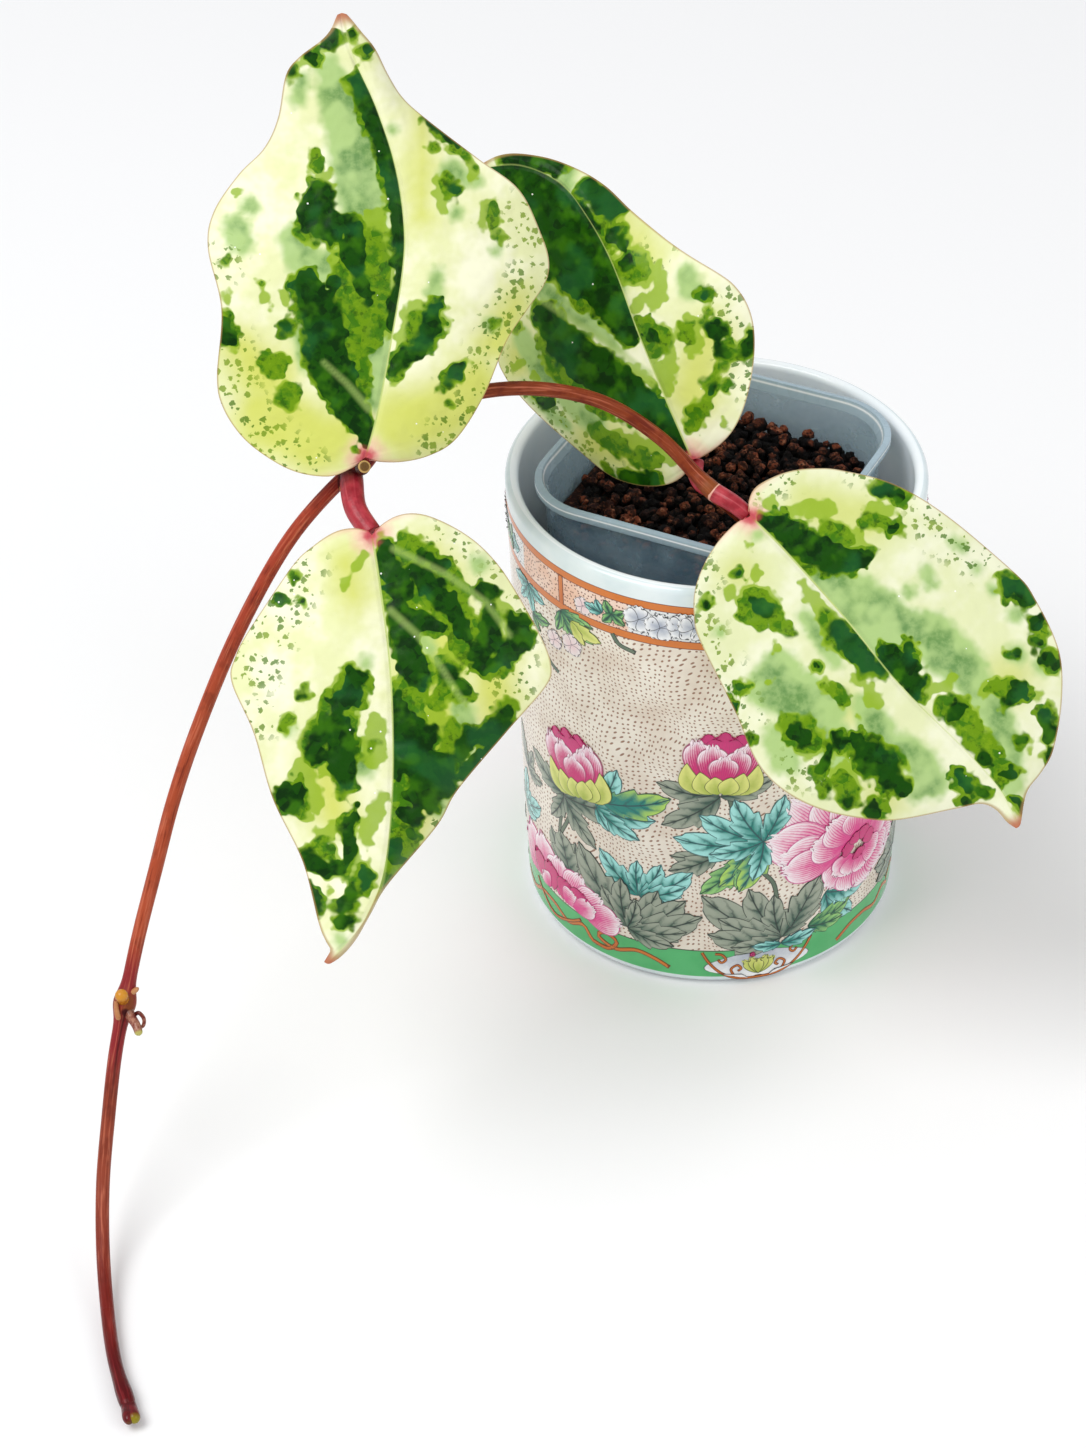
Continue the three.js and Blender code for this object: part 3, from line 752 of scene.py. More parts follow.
# %% Leaf outlines
LEAVES = {
    "leaf_1": {
        "base": (-95.5, -58.5, 193.5), "tip": (-98.5, 4, 289), "face": (0.11, -0.83, 0.55),
        "left": [
            (-1.2, -0.8), (-5, -3), (-10, -4.5), (-18, -3), (-25, 1), (-31.5, 7), (-36, 15), (-37, 23),
            (-35, 40), (-37.5, 55.5), (-35.5, 65), (-28.5, 74.5), (-21.5, 81), (-17.5, 88.5), (-15, 99),
            (-11.5, 103.5), (-5, 108), (-2.2, 111), (-0.6, 114.5),
        ],
        "midrib": [
            (0, 0), (4, 12), (8.5, 30), (12.5, 48), (13.5, 60), (12, 75), (8, 90), (3, 103), (0.5, 114.8),
        ],
        "right": [
            (1.2, -0.8), (9.5, -1.4), (17.5, 0), (24.5, 4), (32, 14.5), (39, 28.5), (45.5, 37),
            (50.5, 43.5), (51.8, 49), (50, 56), (44.5, 67.5), (34, 76), (20.5, 87.5), (15, 93),
            (11.5, 99), (8.5, 105.5), (5, 110), (1.6, 114.5),
        ],
        "bend": -6, "back": (4, 8), "wave": (3.5, 3), "cycles": (2.5, 2.5), "phase": (0.1, 0.6),
    },
    "leaf_2": {
        "base": (-8, -24.5, 167.5), "tip": (-65, 26.5, 229), "face": (-0.42, -0.85, 0.31),
        "left": [
            (-1.2, -0.4), (-7, -1.8), (-14, 0), (-21.5, 5), (-27, 12), (-30, 23), (-33.5, 43),
            (-34.5, 52), (-33, 58), (-25, 70), (-16, 85), (-8, 96.5), (-4.5, 100),
        ],
        "midrib": [
            (0, 0), (2, 8.5), (8.5, 34.5), (14.5, 55), (16.5, 70), (15.5, 82), (8.5, 93), (-3, 100.4),
        ],
        "right": [
            (1.2, -0.8), (9, -1.3), (15.5, 0), (22, 4), (29, 11), (35.5, 20), (38, 28), (36.5, 36),
            (28.5, 53), (24.5, 64), (23, 74), (20.5, 81.5), (16, 89), (9.5, 95.5), (4, 99), (-2, 100.6),
        ],
        "bend": -8, "back": (6, 6), "wave": (2.5, 2.5), "cycles": (2, 2.5), "phase": (0.3, 0.1),
    },
    "leaf_3": {
        "base": (-94, -75.5, 180.5), "tip": (-108, -152, 101), "face": (0, -0.72, 0.69),
        "left": [
            (-1, -1.8), (-6.5, -6), (-12.5, -7), (-20, -5), (-27, -1.5), (-33, 3.5), (-38, 9.5),
            (-46, 21), (-49.5, 28.5), (-48.5, 34), (-40, 46), (-28.5, 62.5), (-24, 72.5), (-13, 89),
            (-9.5, 97), (-6.5, 104), (-3.5, 108.5), (-0.8, 111),
        ],
        "midrib": [
            (0, 0), (-3, 11), (-8, 32), (-11, 52), (-12.5, 70), (-12.3, 86), (-10, 95.5), (-6.5, 103),
            (-0.2, 111.3),
        ],
        "right": [
            (1, -1), (5.5, -1.2), (10, 0.3), (15, 4.3), (20, 10), (29, 26.5), (32.2, 35), (32.2, 41.5),
            (25, 54), (18.5, 70), (9, 85.5), (3, 101), (0.6, 105.5), (-0.9, 107.8), (0.5, 111),
        ],
        "bend": -4, "back": (8, 5), "wave": (2, 2.5), "cycles": (2, 2), "phase": (0.3, 0.2),
    },
    "leaf_4": {
        "base": (6, -51, 166.5), "tip": (74.5, -110, 105.5), "face": (-0.05, -0.74, 0.67),
        "left": [
            (-0.8, -1.4), (-2.5, -3.3), (-6, -4.9), (-11, -4.2), (-16.5, -2.2), (-22, 1.5), (-27, 6.5),
            (-35, 18.5), (-40.5, 35), (-44.5, 57), (-44, 66), (-39.5, 80.5), (-31.5, 91), (-21.5, 99.5),
            (-15.5, 102), (-9.5, 103.2), (-6, 105.2), (-1.2, 109.2),
        ],
        "midrib": [
            (0, 0), (-1, 13), (-1.5, 37.5), (-1, 60), (-3, 84), (-3.4, 97), (-2.4, 103.5), (-0.6, 109.5),
        ],
        "right": [
            (1.4, -0.4), (6, -0.8), (12, 0), (18, 2), (24, 5.5), (28.5, 10.5), (31.5, 16.5), (36.5, 37),
            (40.5, 49), (41.3, 57), (39.5, 65), (35.5, 73), (29.5, 80.5), (22.5, 87), (9, 94.6),
            (2.8, 98), (0.6, 102), (0.6, 106.5), (0, 109.4),
        ],
        "bend": -5, "back": (5, 6), "wave": (2.5, 2), "cycles": (2.5, 2), "phase": (0.4, 0.1),
    },
}


def leaf_axes(leaf):
    base, tip = Vector(leaf["base"]), Vector(leaf["tip"])
    along = (tip - base).normalized()
    face = Vector(leaf["face"])
    face = (face - along * face.dot(along)).normalized()
    return base, along.cross(face), along, face


for name, leaf in LEAVES.items():
    print(name, "is", round((Vector(leaf["tip"]) - Vector(leaf["base"])).length), "mm long")

# %% [markdown]
# The blade is a net of about 0.8 mm squares. Its rows run from base to tip and its columns from
# margin to margin, closer together beside the midrib. A filled outline would have no such rows,
# and the colours nothing to follow. Every point of the net moves to its place and keeps how far
# it is from the midrib, the margin, the base and the tip. Later the net gets the leaf's
# thickness, with a rib below the midrib.

# %% Leaf blades
BLADE = 1.0
RIB = 1.3
RIB_SPREAD = 0.9
MIDRIB_LAG = 1.5
LEAF_ROWS = 132
LEAF_COLUMNS = 112
SIDE_VEINS = 6


def leaf_blade(name, leaf):
    bpy.ops.mesh.primitive_grid_add(x_subdivisions=LEAF_COLUMNS, y_subdivisions=LEAF_ROWS, size=2)
    blade = bpy.context.object
    blade.name = name
    net = vertex_places(blade)
    share = (net[:, 1] + 1) / 2
    edge = 0.3 * np.abs(net[:, 0]) + 0.7 * np.abs(net[:, 0]) ** 1.5
    side = (net[:, 0] > 0).astype(int)
    middle = at_shares(fine_curve(leaf["midrib"], 0), share**MIDRIB_LAG)
    left = at_shares(fine_curve(leaf["left"], 0), share)
    right = at_shares(fine_curve(leaf["right"], 0), share)
    margin = np.where(side[:, None] == 1, right, left)
    half_width = np.linalg.norm(margin - middle, axis=1)
    flat = middle + (margin - middle) * edge[:, None]
    back, wave, cycles, phase = (
        np.array(leaf[key])[side] for key in ("back", "wave", "cycles", "phase"))
    ripple = wave * np.sin(2 * math.pi * (cycles * share + phase))
    ends = np.sin(math.pi * share) ** 0.7
    fullness = 0.2 * half_width * edge * (1 - edge)
    height = leaf["bend"] * share**2 + ends * (fullness + edge**2 * (ripple - back))
    blade_places = np.column_stack([flat, height]) * MM
    move_vertices(blade, blade_places)
    set_attribute(blade, "beside", (2 * side - 1) * edge * half_width)
    set_attribute(blade, "rim", (1 - edge) * half_width * np.clip(1.2 * ends + 0.2, 0, 1))
    set_attribute(blade, "share", share)
    set_attribute(blade, "root", np.linalg.norm(flat, axis=1))
    set_attribute(blade, "tip", np.linalg.norm(flat - flat[share == 1].mean(0), axis=1))
    set_attribute(blade, "vein", (share - 0.2 * edge**0.8) * SIDE_VEINS + 0.5 * side)
    return blade


def thicken(blade, leaf):
    select_only(blade)
    shell = blade.modifiers.new("thickness", "SOLIDIFY")
    shell.thickness = BLADE * MM
    shell.offset = 0
    shell.material_offset = 1
    shell.material_offset_rim = 0
    bpy.ops.object.modifier_apply(modifier=shell.name)
    places = vertex_places(blade)
    beside = values_of(blade, "beside")
    share = values_of(blade, "share")
    below = np.arange(len(places)) >= len(places) // 2
    places[:, 2] -= below * RIB * MM * (1 - share) * np.exp(-((beside / RIB_SPREAD) ** 2))
    move_vertices(blade, places)
    base, across, along, face = leaf_axes(leaf)
    turned = Matrix((across, along, face)).transposed().to_4x4()
    blade.data.transform(Matrix.Translation(base * MM) @ turned)
    blade.data.update()
    select_only(blade)
    bpy.ops.object.mode_set(mode="EDIT")
    turn_faces_out()


blades = {name: leaf_blade(name, leaf) for name, leaf in LEAVES.items()}
print("net points in each leaf:", [len(blade.data.vertices) for blade in blades.values()])

# %% [markdown]
# Each leaf hangs on a short fleshy stalk that leaves its node and ends close under the blade: a
# round shoot, a little thicker at its foot. Where stalk and stem meet, a painted shade darkens
# both, or the stalk has a pale collar. So both keep how far they are apart.

# %% Leaf stalks
TOUCH_GAP = 0.3
STALK_SPREAD = 1.15
STALKS = {
    "petiole_1": ("leaf_1", [NODE_B, (-96.6, -55.7, 189.7)], 1.7),
    "petiole_2": ("leaf_2", [NODE_A, (-6.6, -35.5, 166.4), (-7.8, -31, 166.4), (-7, -25, 164)], 1.75),
    "petiole_3": ("leaf_3", [(-99.8, -55.5, 185), (-98.4, -65.5, 182)], 2.8),
    "petiole_4": ("leaf_4", [NODE_A, (1.8, -46.6, 167.6)], 2.3),
}
COLLARED = ("petiole_2", "petiole_4")
FAR = 9.0


def give_share(piece, length):
    run = values_of(piece, "run")
    set_attribute(piece, "share", run / length)


stalk_pieces = {}
to_joint_shade = np.full(len(vine.data.vertices), FAR)
for name, (leaf_name, route, radius) in STALKS.items():
    base, across, along, face = leaf_axes(LEAVES[leaf_name])
    end = base - along * 2 * TOUCH_GAP - face * (BLADE / 2 + TOUCH_GAP + radius)
    centres = stem_line([*route, tuple(end)], 0.3)
    run = run_of(centres)
    radii = radius * (STALK_SPREAD + (1 - STALK_SPREAD) * run / run[-1])
    piece = stem_piece(name, centres, radii * round_end(run, run[-1], 0.8))
    give_share(piece, run[-1])
    out_of_stem = gap_to(piece, vine_centres, vine_radii)
    nowhere = np.full(len(out_of_stem), FAR)
    # Distances for a painted shade where stalk and stem meet.
    if name not in COLLARED:
        to_joint_shade = np.minimum(to_joint_shade, gap_to(vine, centres, radii))
    set_attribute(piece, "collar", out_of_stem if name in COLLARED else nowhere)
    set_attribute(piece, "joint_shade", nowhere if name in COLLARED else out_of_stem)
    stalk_pieces[name] = keep(piece, "stalk_" + name[-1], "petiole", name)
set_attribute(vine, "joint_shade", to_joint_shade)
print("stalks:", len(stalk_pieces))

# %% [markdown]
# Below the third node the stem has a hollow, where the young flower stalk comes out, and a
# groove down its front. Both are too shallow to be carved, so they are left to painted shade, and
# the points keep distances to them.

# %% Hollow and groove of the third node
HOLLOW = (-167.0, -117.2, 52.2)
GROOVE_LENGTH = 34

vine_run_at = values_of(vine, "run")
vine_skin = np.empty(len(vine.data.vertices) * 3, np.float32)
vine.data.attributes["skin"].data.foreach_get("vector", vine_skin)
vine_turn = np.arctan2(vine_skin[1::3], vine_skin[0::3])
to_hollow = np.linalg.norm(vertex_places(vine) / MM - np.array(HOLLOW), axis=1)
front_turn = vine_turn[np.argmin(to_hollow)]
around = np.abs((vine_turn - front_turn + math.pi) % (2 * math.pi) - math.pi) * STEM_RADIUS
below = vine_run_at - node_runs[2]
below_node = smoothstep(1, 3, below) * smoothstep(GROOVE_LENGTH, GROOVE_LENGTH / 2, below)
set_attribute(vine, "hollow_shade", to_hollow)
set_attribute(vine, "groove_shade", around)
set_attribute(vine, "grooved", below_node)
print("points in the groove:", int((below_node > 0).sum()))

# %% [markdown]
# The buds are short shoots too: an amber bud and a curled young flower stalk with a small loop
# at the third node, and two folded leaves beyond the growing tip, which run side by side and
# spread apart a little.

# %% Buds and folded young leaves
BUD_NAMES = {"node_bud": "amber_bud", "young_stalk": "young_flower_stalk", "tip_leaves": "folded_leaves"}
BUDS = {
    "node_bud": ([NODE_C, (-167.6, -115.5, 56.2), (-167.5, -116.9, 58.9)], 1.6, 1.9),
    "young_stalk": (
        [NODE_C, (-165.4, -117.6, 50.6), (-163.9, -120.4, 50.2), (-162.9, -122.9, 48.8)], 1.6, 1.1),
    "tip_leaves": ([GROWING_TIP, (-161.9, -217, 3.1), (-161.3, -219.4, 3.2)], 2.3, 2.7),
}
LOOP = [
    (-164.7, -116.6, 50.6), (-163.2, -117.3, 51.9), (-161.9, -118.5, 50.8), (-162.1, -119.6, 49.4),
    (-163.3, -119.9, 48.6),
]
LEAF_APART = 0.85
FOLD_START = (-163.9, -209.6, 2.6)
LEFT_LAG = 1.2


def short_shoot(name, route, at_stem, at_end, ending, lag=1):
    centres = stem_line(route, 0.25)
    run = run_of(centres)
    radii = at_stem + (at_end - at_stem) * run / run[-1]
    piece = stem_piece(name, centres, radii * round_end(run, run[-1], ending))
    give_share(piece, run[-1] * lag)
    return piece


def joined(first, second):
    select_only(first)
    second.select_set(True)
    bpy.ops.object.join()
    return first


def beside_route(route, offset):
    way = np.array(route[-1]) - np.array(route[0])
    across = np.array([-way[1], way[0], 0]) / np.hypot(way[0], way[1])
    spread = np.linspace(0.4, 1, len(route)) * offset
    return [tuple(np.array(place) + across * step) for place, step in zip(route, spread)]


bud_pieces = {}
for name, (route, at_stem, at_end) in BUDS.items():
    if name == "tip_leaves":
        folded = [FOLD_START, *route]
        right = short_shoot(name, beside_route(folded, LEAF_APART), 1.5, at_end - 0.95, 2)
        left = short_shoot("left", beside_route(folded, -LEAF_APART), 1.5, at_end - 1.0, 3, LEFT_LAG)
        piece = joined(right, left)
    else:
        piece = short_shoot(name, route, at_stem, at_end, 0.9 * at_end)
    if name == "young_stalk":
        piece = joined(piece, short_shoot("loop", LOOP, 0.6, 0.5, 0.4))
    bud_pieces[name] = keep(piece, BUD_NAMES[name], "bud", name)

# %% [markdown]
# The marbling is painted like a watercolour on the cream ground: a warm wash, sage veils, lime,
# mid green, dark green, pale streaks and fine specks. Noise alone would put patches anywhere,
# but a leaf is known by where its patches are. So each layer is a set of strokes: a round dab
# (across, along, radius) in millimetres, or a chain of dabs. The halves are kept apart, because
# their colours stop sharply at the midrib. The first leaf has a long dark patch over sage veils
# on its left half.

# %% Marbling of leaf 1
LAYERS = ("warm", "sage", "lime", "mid", "dark", "pale", "speck")
MARKS = {}


def count_strokes(name):
    halves = [MARKS[name, half] for half in ("left", "right")]
    print("strokes on", name, "by layer:", [sum(len(half[layer]) for half in halves) for layer in LAYERS])


MARKS["leaf_1", "left"] = {
    "warm": [[(-24, 12, 9), (-12, 4, 8), (-4, 8, 5)], [(-30, 30, 4), (-24, 22, 7)]],
    "sage": [
        [(-4, 101, 3), (-2, 95, 5), (0, 88, 6), (2, 80, 7), (3, 72, 7), (3, 64, 6), (4, 54, 5)],
        [(-15.5, 57, 3.5), (-13.5, 51.5, 4), (-9, 49, 4), (-4, 52, 3)], [(3, 34, 5), (3, 26, 5),
        (3, 16, 4)], [(-30, 61, 3), (-29, 57, 3)], (-26, 66, 2.2), [(-15, 33, 2), (-13, 26, 3)],
        [(-11, 98, 1.5), (-12, 93, 1.5)], [(-12, 62, 2), (-15, 57, 2)],
    ],
    "lime": [
        [(6, 61, 3), (8.5, 50, 3), (8, 42, 3), (7, 33, 2.5)], (-11, 59, 4), [(-4, 51, 2.5), (-4, 45, 2.5)],
        [(-19, 43, 1), (-18, 41, 0.7)], (-22, 40, 0.8), (-29, 70.5, 1), [(-8, 73, 1.5), (-5, 73, 1.4)],
        [(-24.5, 46, 1), (-23.5, 42.5, 1.2)], [(-12, 101.5, 1.2), (-9, 103, 1.5)], (-33, 43, 1.5),
        [(-23, 25, 3.4), (-20, 26, 2.2)], (-19.5, 17.5, 3.2),
    ],
    "mid": [
        [(4, 56, 3), (5, 50, 4.4), (5, 42, 4.6), (4, 35, 4), (2, 30, 3.5)], [(-2, 48, 4), (-3, 40, 4.5),
        (-2, 32, 4.5), (-1, 24, 3), (0, 16, 2)], [(-8.3, 78, 1.7), (-8, 75, 1.5)], [(-24, 26, 2.6),
        (-22, 23.5, 2.4), (-19.5, 26, 1.4)], [(-20, 17, 2.4), (-17.5, 18.5, 2), (-18.5, 15, 1.4)],
        (-24.5, 45.5, 0.6), (-33, 52.5, 1.2), [(-19, 34.5, 1.9), (-17, 35.3, 1.4)], (-12, 59, 2.6),
    ],
    "dark": [
        [(0, 3, 1.2), (0, 7, 2.5), (-2.5, 12, 4), (-6, 19, 5), (-8.5, 26, 5.3), (-9, 33, 5.5),
        (-10, 39, 5.2), (-13, 45, 3.6)], [(-8, 68.5, 3.3), (-9, 63, 5), (-6, 59, 3.8), (-2, 60, 2.8),
        (0, 58, 2.8), (-1, 53, 3), (0, 49, 2.4)], [(3.5, 97, 2), (6, 90, 2.8), (9, 82, 2.6),
        (10.5, 75, 2.6), (11.5, 68, 2.2), (12.3, 60, 2), (11.8, 50, 2), (10.5, 42, 1.6), (8.5, 34, 1.2)],
        (-2.5, 108.3, 2.2), (-7.5, 104, 1.4), [(-14.5, 100, 1.2), (-13, 101, 0.8)], [(-35, 37, 1.6),
        (-34, 33.5, 2.8)], (-18.8, 34.5, 1.5), [(1, 45, 2), (3, 41, 1.4)], [(-6.5, 45, 1.4),
        (-4.5, 46, 1.4)],
    ],
    "pale": [[(1.5, 12.5, 0.35), (-4, 19.5, 0.2), (-9.5, 25, 0.1)]],
    "speck": [[(-34, 30, 3), (-33, 15, 4), (-25, 3, 5), (-15, -2, 2)], (-34, 52, 2)],
}
MARKS["leaf_1", "right"] = {
    "warm": [
        [(10, 8, 8), (25, 12, 8), (30, 18, 6)], [(42, 38, 3), (36, 28, 5)], [(18, 62, 2), (20, 88, 2)],
    ],
    "sage": [
        [(20, 42, 1.8), (21.5, 47, 1)], [(30, 71, 2), (27, 74, 2), (25, 71, 2)], (27, 62, 1.5),
        (35, 33, 1.7), (33, 70, 1.5), (37, 52, 1), (12, 84.5, 0.8),
    ],
    "lime": [
        [(15, 38, 2.5), (13, 31, 3.2), (11, 27.5, 1.8)], [(22.8, 71, 1.3), (23, 67, 1.4), (24, 62, 0.8)],
        [(33.5, 59, 1.7), (36, 64, 1.6)], [(3, 110, 0.7), (4.2, 107, 0.5)], (22.5, 12.5, 1.5), [(26, 79, 1),
        (31, 76.5, 1.2), (33, 73.5, 1.6), (31.5, 71, 1)], (38, 56, 1.6),
    ],
    "mid": [
        [(15.5, 35, 2.5), (14.5, 31, 2), (16, 29, 2)], (22.5, 79.3, 1.3), [(28, 79, 1), (31, 76, 0.9)],
        [(36.5, 63.5, 1), (36.5, 60.5, 2)], (37.8, 55.5, 1), (22.3, 12.8, 0.9), (33.3, 73.5, 0.9),
        [(35, 32, 0.8), (35.7, 34, 1)], [(25, 70, 1.8), (27, 68.5, 1.8)],
    ],
    "dark": [
        [(8, 21.7, 1.2), (12, 25.2, 2), (16, 28.3, 2.4), (18.7, 33, 2.7), (20.5, 38, 1.6)],
        [(21.5, 18.5, 1.3), (24, 20, 1.7), (26, 22, 1.2)], [(27, 69, 1.4), (27, 67.5, 1.2)],
        [(21, 87.5, 0.8), (24, 85, 1.6), (27.5, 82, 1.8), (29, 80.5, 1.2)], [(6, 105, 1.3),
        (6.3, 103.5, 1)], (3, 109.5, 0.5),
    ],
    "pale": [],
    "speck": [[(46, 44, 3), (38, 31, 4), (30, 9, 4), (20, 2, 3)], (46, 56, 2.5), (44, 62, 1)],
}
count_strokes("leaf_1")

# %% [markdown]
# The second leaf leans back above the pot and is the darkest: two broad dark bands run down its
# left half, with a thin pale streak between them.

# %% Marbling of leaf 2
MARKS["leaf_2", "left"] = {
    "warm": [[(-14, 10, 6), (-22, 20, 6)], (-26, 52, 5)],
    "sage": [
        [(-22, 56, 3), (-22, 48, 3.5), (-21, 40, 3.5), (-20, 31, 3.5), (-18, 24, 3)], [(-9, 66, 3),
        (-5, 58, 3), (-2, 50, 2.5), (1, 42, 2), (2, 36, 1)], [(2, 80, 2), (1, 70, 2.5)], [(-30, 45, 2),
        (-27, 30, 2)],
    ],
    "lime": [
        [(1, 31, 1.5), (3, 26, 1.5), (3, 22, 1)], [(-16, 18, 3), (-12, 12, 4), (-8, 8, 3.5), (-5, 5, 3)],
        [(-30, 51, 1), (-26, 50.5, 1)], (-25, 45, 1.5), (-22, 60, 2.4),
    ],
    "mid": [
        [(-16, 50, 3), (-16, 42, 4), (-14, 34, 4), (-12, 26, 3.5)], [(-19, 22, 3), (-17, 16, 3.5)],
        (-22, 60, 1.8), (-26, 12, 2.5), [(0, 60, 2.5), (1, 52, 2.5)], [(-14, 10, 3), (-9, 6, 2)],
    ],
    "dark": [
        [(0, 99, 2), (5, 93, 5), (9, 85, 6.5), (11, 75, 6.5), (10.5, 65, 6.5), (9, 55, 6.3), (7.5, 46, 5),
        (6.5, 38, 3.2)], [(1, 88, 4), (1, 76, 5), (1, 66, 4.5), (3, 56, 3.5)], [(-11, 56, 4),
        (-11, 48, 5.5), (-9, 40, 6), (-6, 32, 6.5), (-4, 24, 6), (-2, 17, 5), (0, 9, 3), (0, 3, 1)],
        [(-22, 8, 2), (-18, 4, 2.5), (-14, 2, 2)], [(-28, 38, 2), (-26, 37, 1.4)],
    ],
    "pale": [[(-9, 60, 0.4), (-4, 50, 0.45), (0, 40, 0.45), (3, 30, 0.5), (4.5, 26, 0.4)]],
    "speck": [[(-31, 50, 3), (-29, 30, 3), (-25, 14, 2)]],
}
MARKS["leaf_2", "right"] = {
    "warm": [[(12, 14, 6), (24, 22, 5)], [(22, 50, 4), (20, 62, 4)]],
    "sage": [
        [(17, 80, 2), (18, 84, 2), (14, 89, 2)], [(29, 37, 3), (30, 40, 2.5)], [(14, 60, 2), (13, 50, 2)],
    ],
    "lime": [
        [(22, 66, 2), (20, 62, 2), (20, 58, 2)], [(23, 50, 1.5), (23, 44, 2), (21, 40, 2), (18, 40, 2)],
        [(13, 42, 2), (16, 43, 1.5)], [(8, 24, 3), (6, 20, 2.5), (11, 23, 2), (14, 27, 2)], [(20, 24, 2.5),
        (23, 26, 2), (24, 30, 2)], [(18, 52, 5.4), (20, 48, 4)], (13.5, 2, 1),
    ],
    "mid": [
        [(18, 52, 4), (20, 49, 2.8)], [(9, 38, 2), (11, 36, 4.5), (13, 31, 4), (10, 31, 3.6)],
        [(21, 28.5, 2.3), (20, 26, 1.8)], (31, 33, 2.2), (17, 12.5, 2.5), (20, 10, 1.5), [(9, 9, 2.5),
        (13, 10, 2), (6, 7, 2)], (22.5, 15, 1.6), [(16, 66, 2), (17, 60, 1.5)],
    ],
    "dark": [
        [(5, 98, 1.5), (12, 92, 2), (17, 86, 2)], [(20, 76, 2), (21, 71, 3), (22, 67, 2.5)], [(19, 62, 1.5),
        (19, 57, 1)], [(27, 25, 2), (28, 23, 1.8)], (25.5, 18, 2), [(31, 15, 1.8), (29, 14, 1.4)],
        (33, 17, 1), (18, 53, 2), (12, 33, 2), [(17, 72, 1.6), (16, 66, 1)], (31, 33, 1), (17, 12.5, 1.3),
    ],
    "pale": [],
    "speck": [[(31, 20, 3), (33, 28, 2), (26, 8, 3)], (26, 50, 1)],
}
count_strokes("leaf_2")

# %% [markdown]
# The third leaf hangs down in front of the pot. One half is nearly all green, the other is
# cream with a few large islands.

# %% Marbling of leaf 3
MARKS["leaf_3", "left"] = {
    "warm": [
        [(-14, 8, 6), (-20, 22, 8), (-20, 42, 9), (-18, 62, 8), (-14, 80, 5)], [(-34, 30, 5), (-36, 42, 4)],
    ],
    "sage": [
        [(-30, 57, 1.5), (-29, 47, 3), (-28, 43, 2.5), (-26, 38, 1.5)], [(-24, 68, 2), (-25, 64, 1.5)],
        [(-16, 26, 2), (-18, 28, 1.5)], (-28, 4, 2), (-14, 90, 2),
    ],
    "lime": [
        [(-23, 47, 3), (-19, 44, 3), (-15, 42, 3), (-12, 38, 3)], (-27, 50, 2), [(-14, 19, 2),
        (-12, 18, 1.5)], [(-28, 19, 2), (-24, 16, 2)], [(-37, 16, 2), (-33, 14, 2)], [(-12, 74, 3),
        (-14, 70, 3), (-20, 54, 4)], [(-13, 85, 2.5), (-12, 92, 2)], [(-27, 26, 4), (-24, 30, 4)],
        (-18, 34, 4), (-26, 56, 3),
    ],
    "mid": [
        [(-28, 27, 4), (-25, 21, 4.6), (-20, 15, 5.4), (-16, 11, 5), (-11, 7, 4.6), (-7, 4, 3)],
        [(-24, 12, 3), (-19, 7, 3.4), (-14, 4, 3), (-9, 1, 2.4)], [(-16, 34, 4), (-13, 45, 5),
        (-17, 52, 5)], [(-14, 64, 4), (-16, 72, 4), (-17, 80, 3), (-13, 88, 2.5)], [(-26, 56, 4),
        (-26, 48, 2.5)], [(-24, 36, 2), (-21, 42, 2)],
    ],
    "dark": [
        [(-20, 22, 1.5), (-17, 21, 2.6), (-12, 21, 2.6)], [(-9, 19, 3), (-11, 26, 3.3), (-13, 31, 3.6),
        (-15, 34, 3.6), (-17, 37, 2)], [(-27, 24, 1.6), (-22, 16.5, 2.8), (-17, 12, 3.2), (-12, 8, 2.2)],
        [(-19, 6.5, 1.6), (-14, 3.5, 1.4)], [(-11, 42, 2), (-12, 47, 3.6), (-15, 50, 4.6), (-20, 50, 2.8)],
        [(-15, 56, 4.6), (-19, 58, 4.6), (-24, 58, 3.6), (-24, 63, 3.2), (-20, 62, 3.6), (-26, 62, 2.4)],
        [(-19, 66, 3.6), (-22, 67, 2.4)], (-13, 60, 2), [(-29, 53, 2), (-30, 48, 1.5), (-34, 49, 2.5),
        (-37, 45, 2.5), (-40, 41, 1.5)], [(-30, 58, 2), (-36, 51, 2), (-40, 45, 2)], [(-18, 71, 2.2),
        (-16, 71, 2)], [(-14, 79, 1.8), (-15, 83, 1.5)], (-18, 76, 1), (-20, 80, 1.5), [(-38, 26, 3),
        (-36, 29, 2.5), (-33, 31, 2), (-30, 28, 2.5), (-33, 25, 3.5), (-33, 20, 2.5), (-32, 16, 1.5)],
        [(-41, 23, 2.8), (-40, 19, 3), (-38, 18, 2)], [(-30, 11, 2.2), (-32, 10, 2)], [(-28, 38, 1.5),
        (-25, 35, 2), (-22, 32, 1.5)], [(-9, 13, 3.6), (-5, 8, 2.8), (-4, 3, 1.6)],
    ],
    "pale": [
        [(-7, 19, 0.3), (-15, 25, 0.25), (-22, 33, 0.2), (-29, 42, 0.1)], [(-6, 3, 0.3), (-20, 8, 0.25),
        (-31, 14, 0.2), (-38, 22, 0.1)],
    ],
    "speck": [[(-40, 34, 3), (-36, 6, 3)], (-24, 74, 2), (-20, 0, 3)],
}
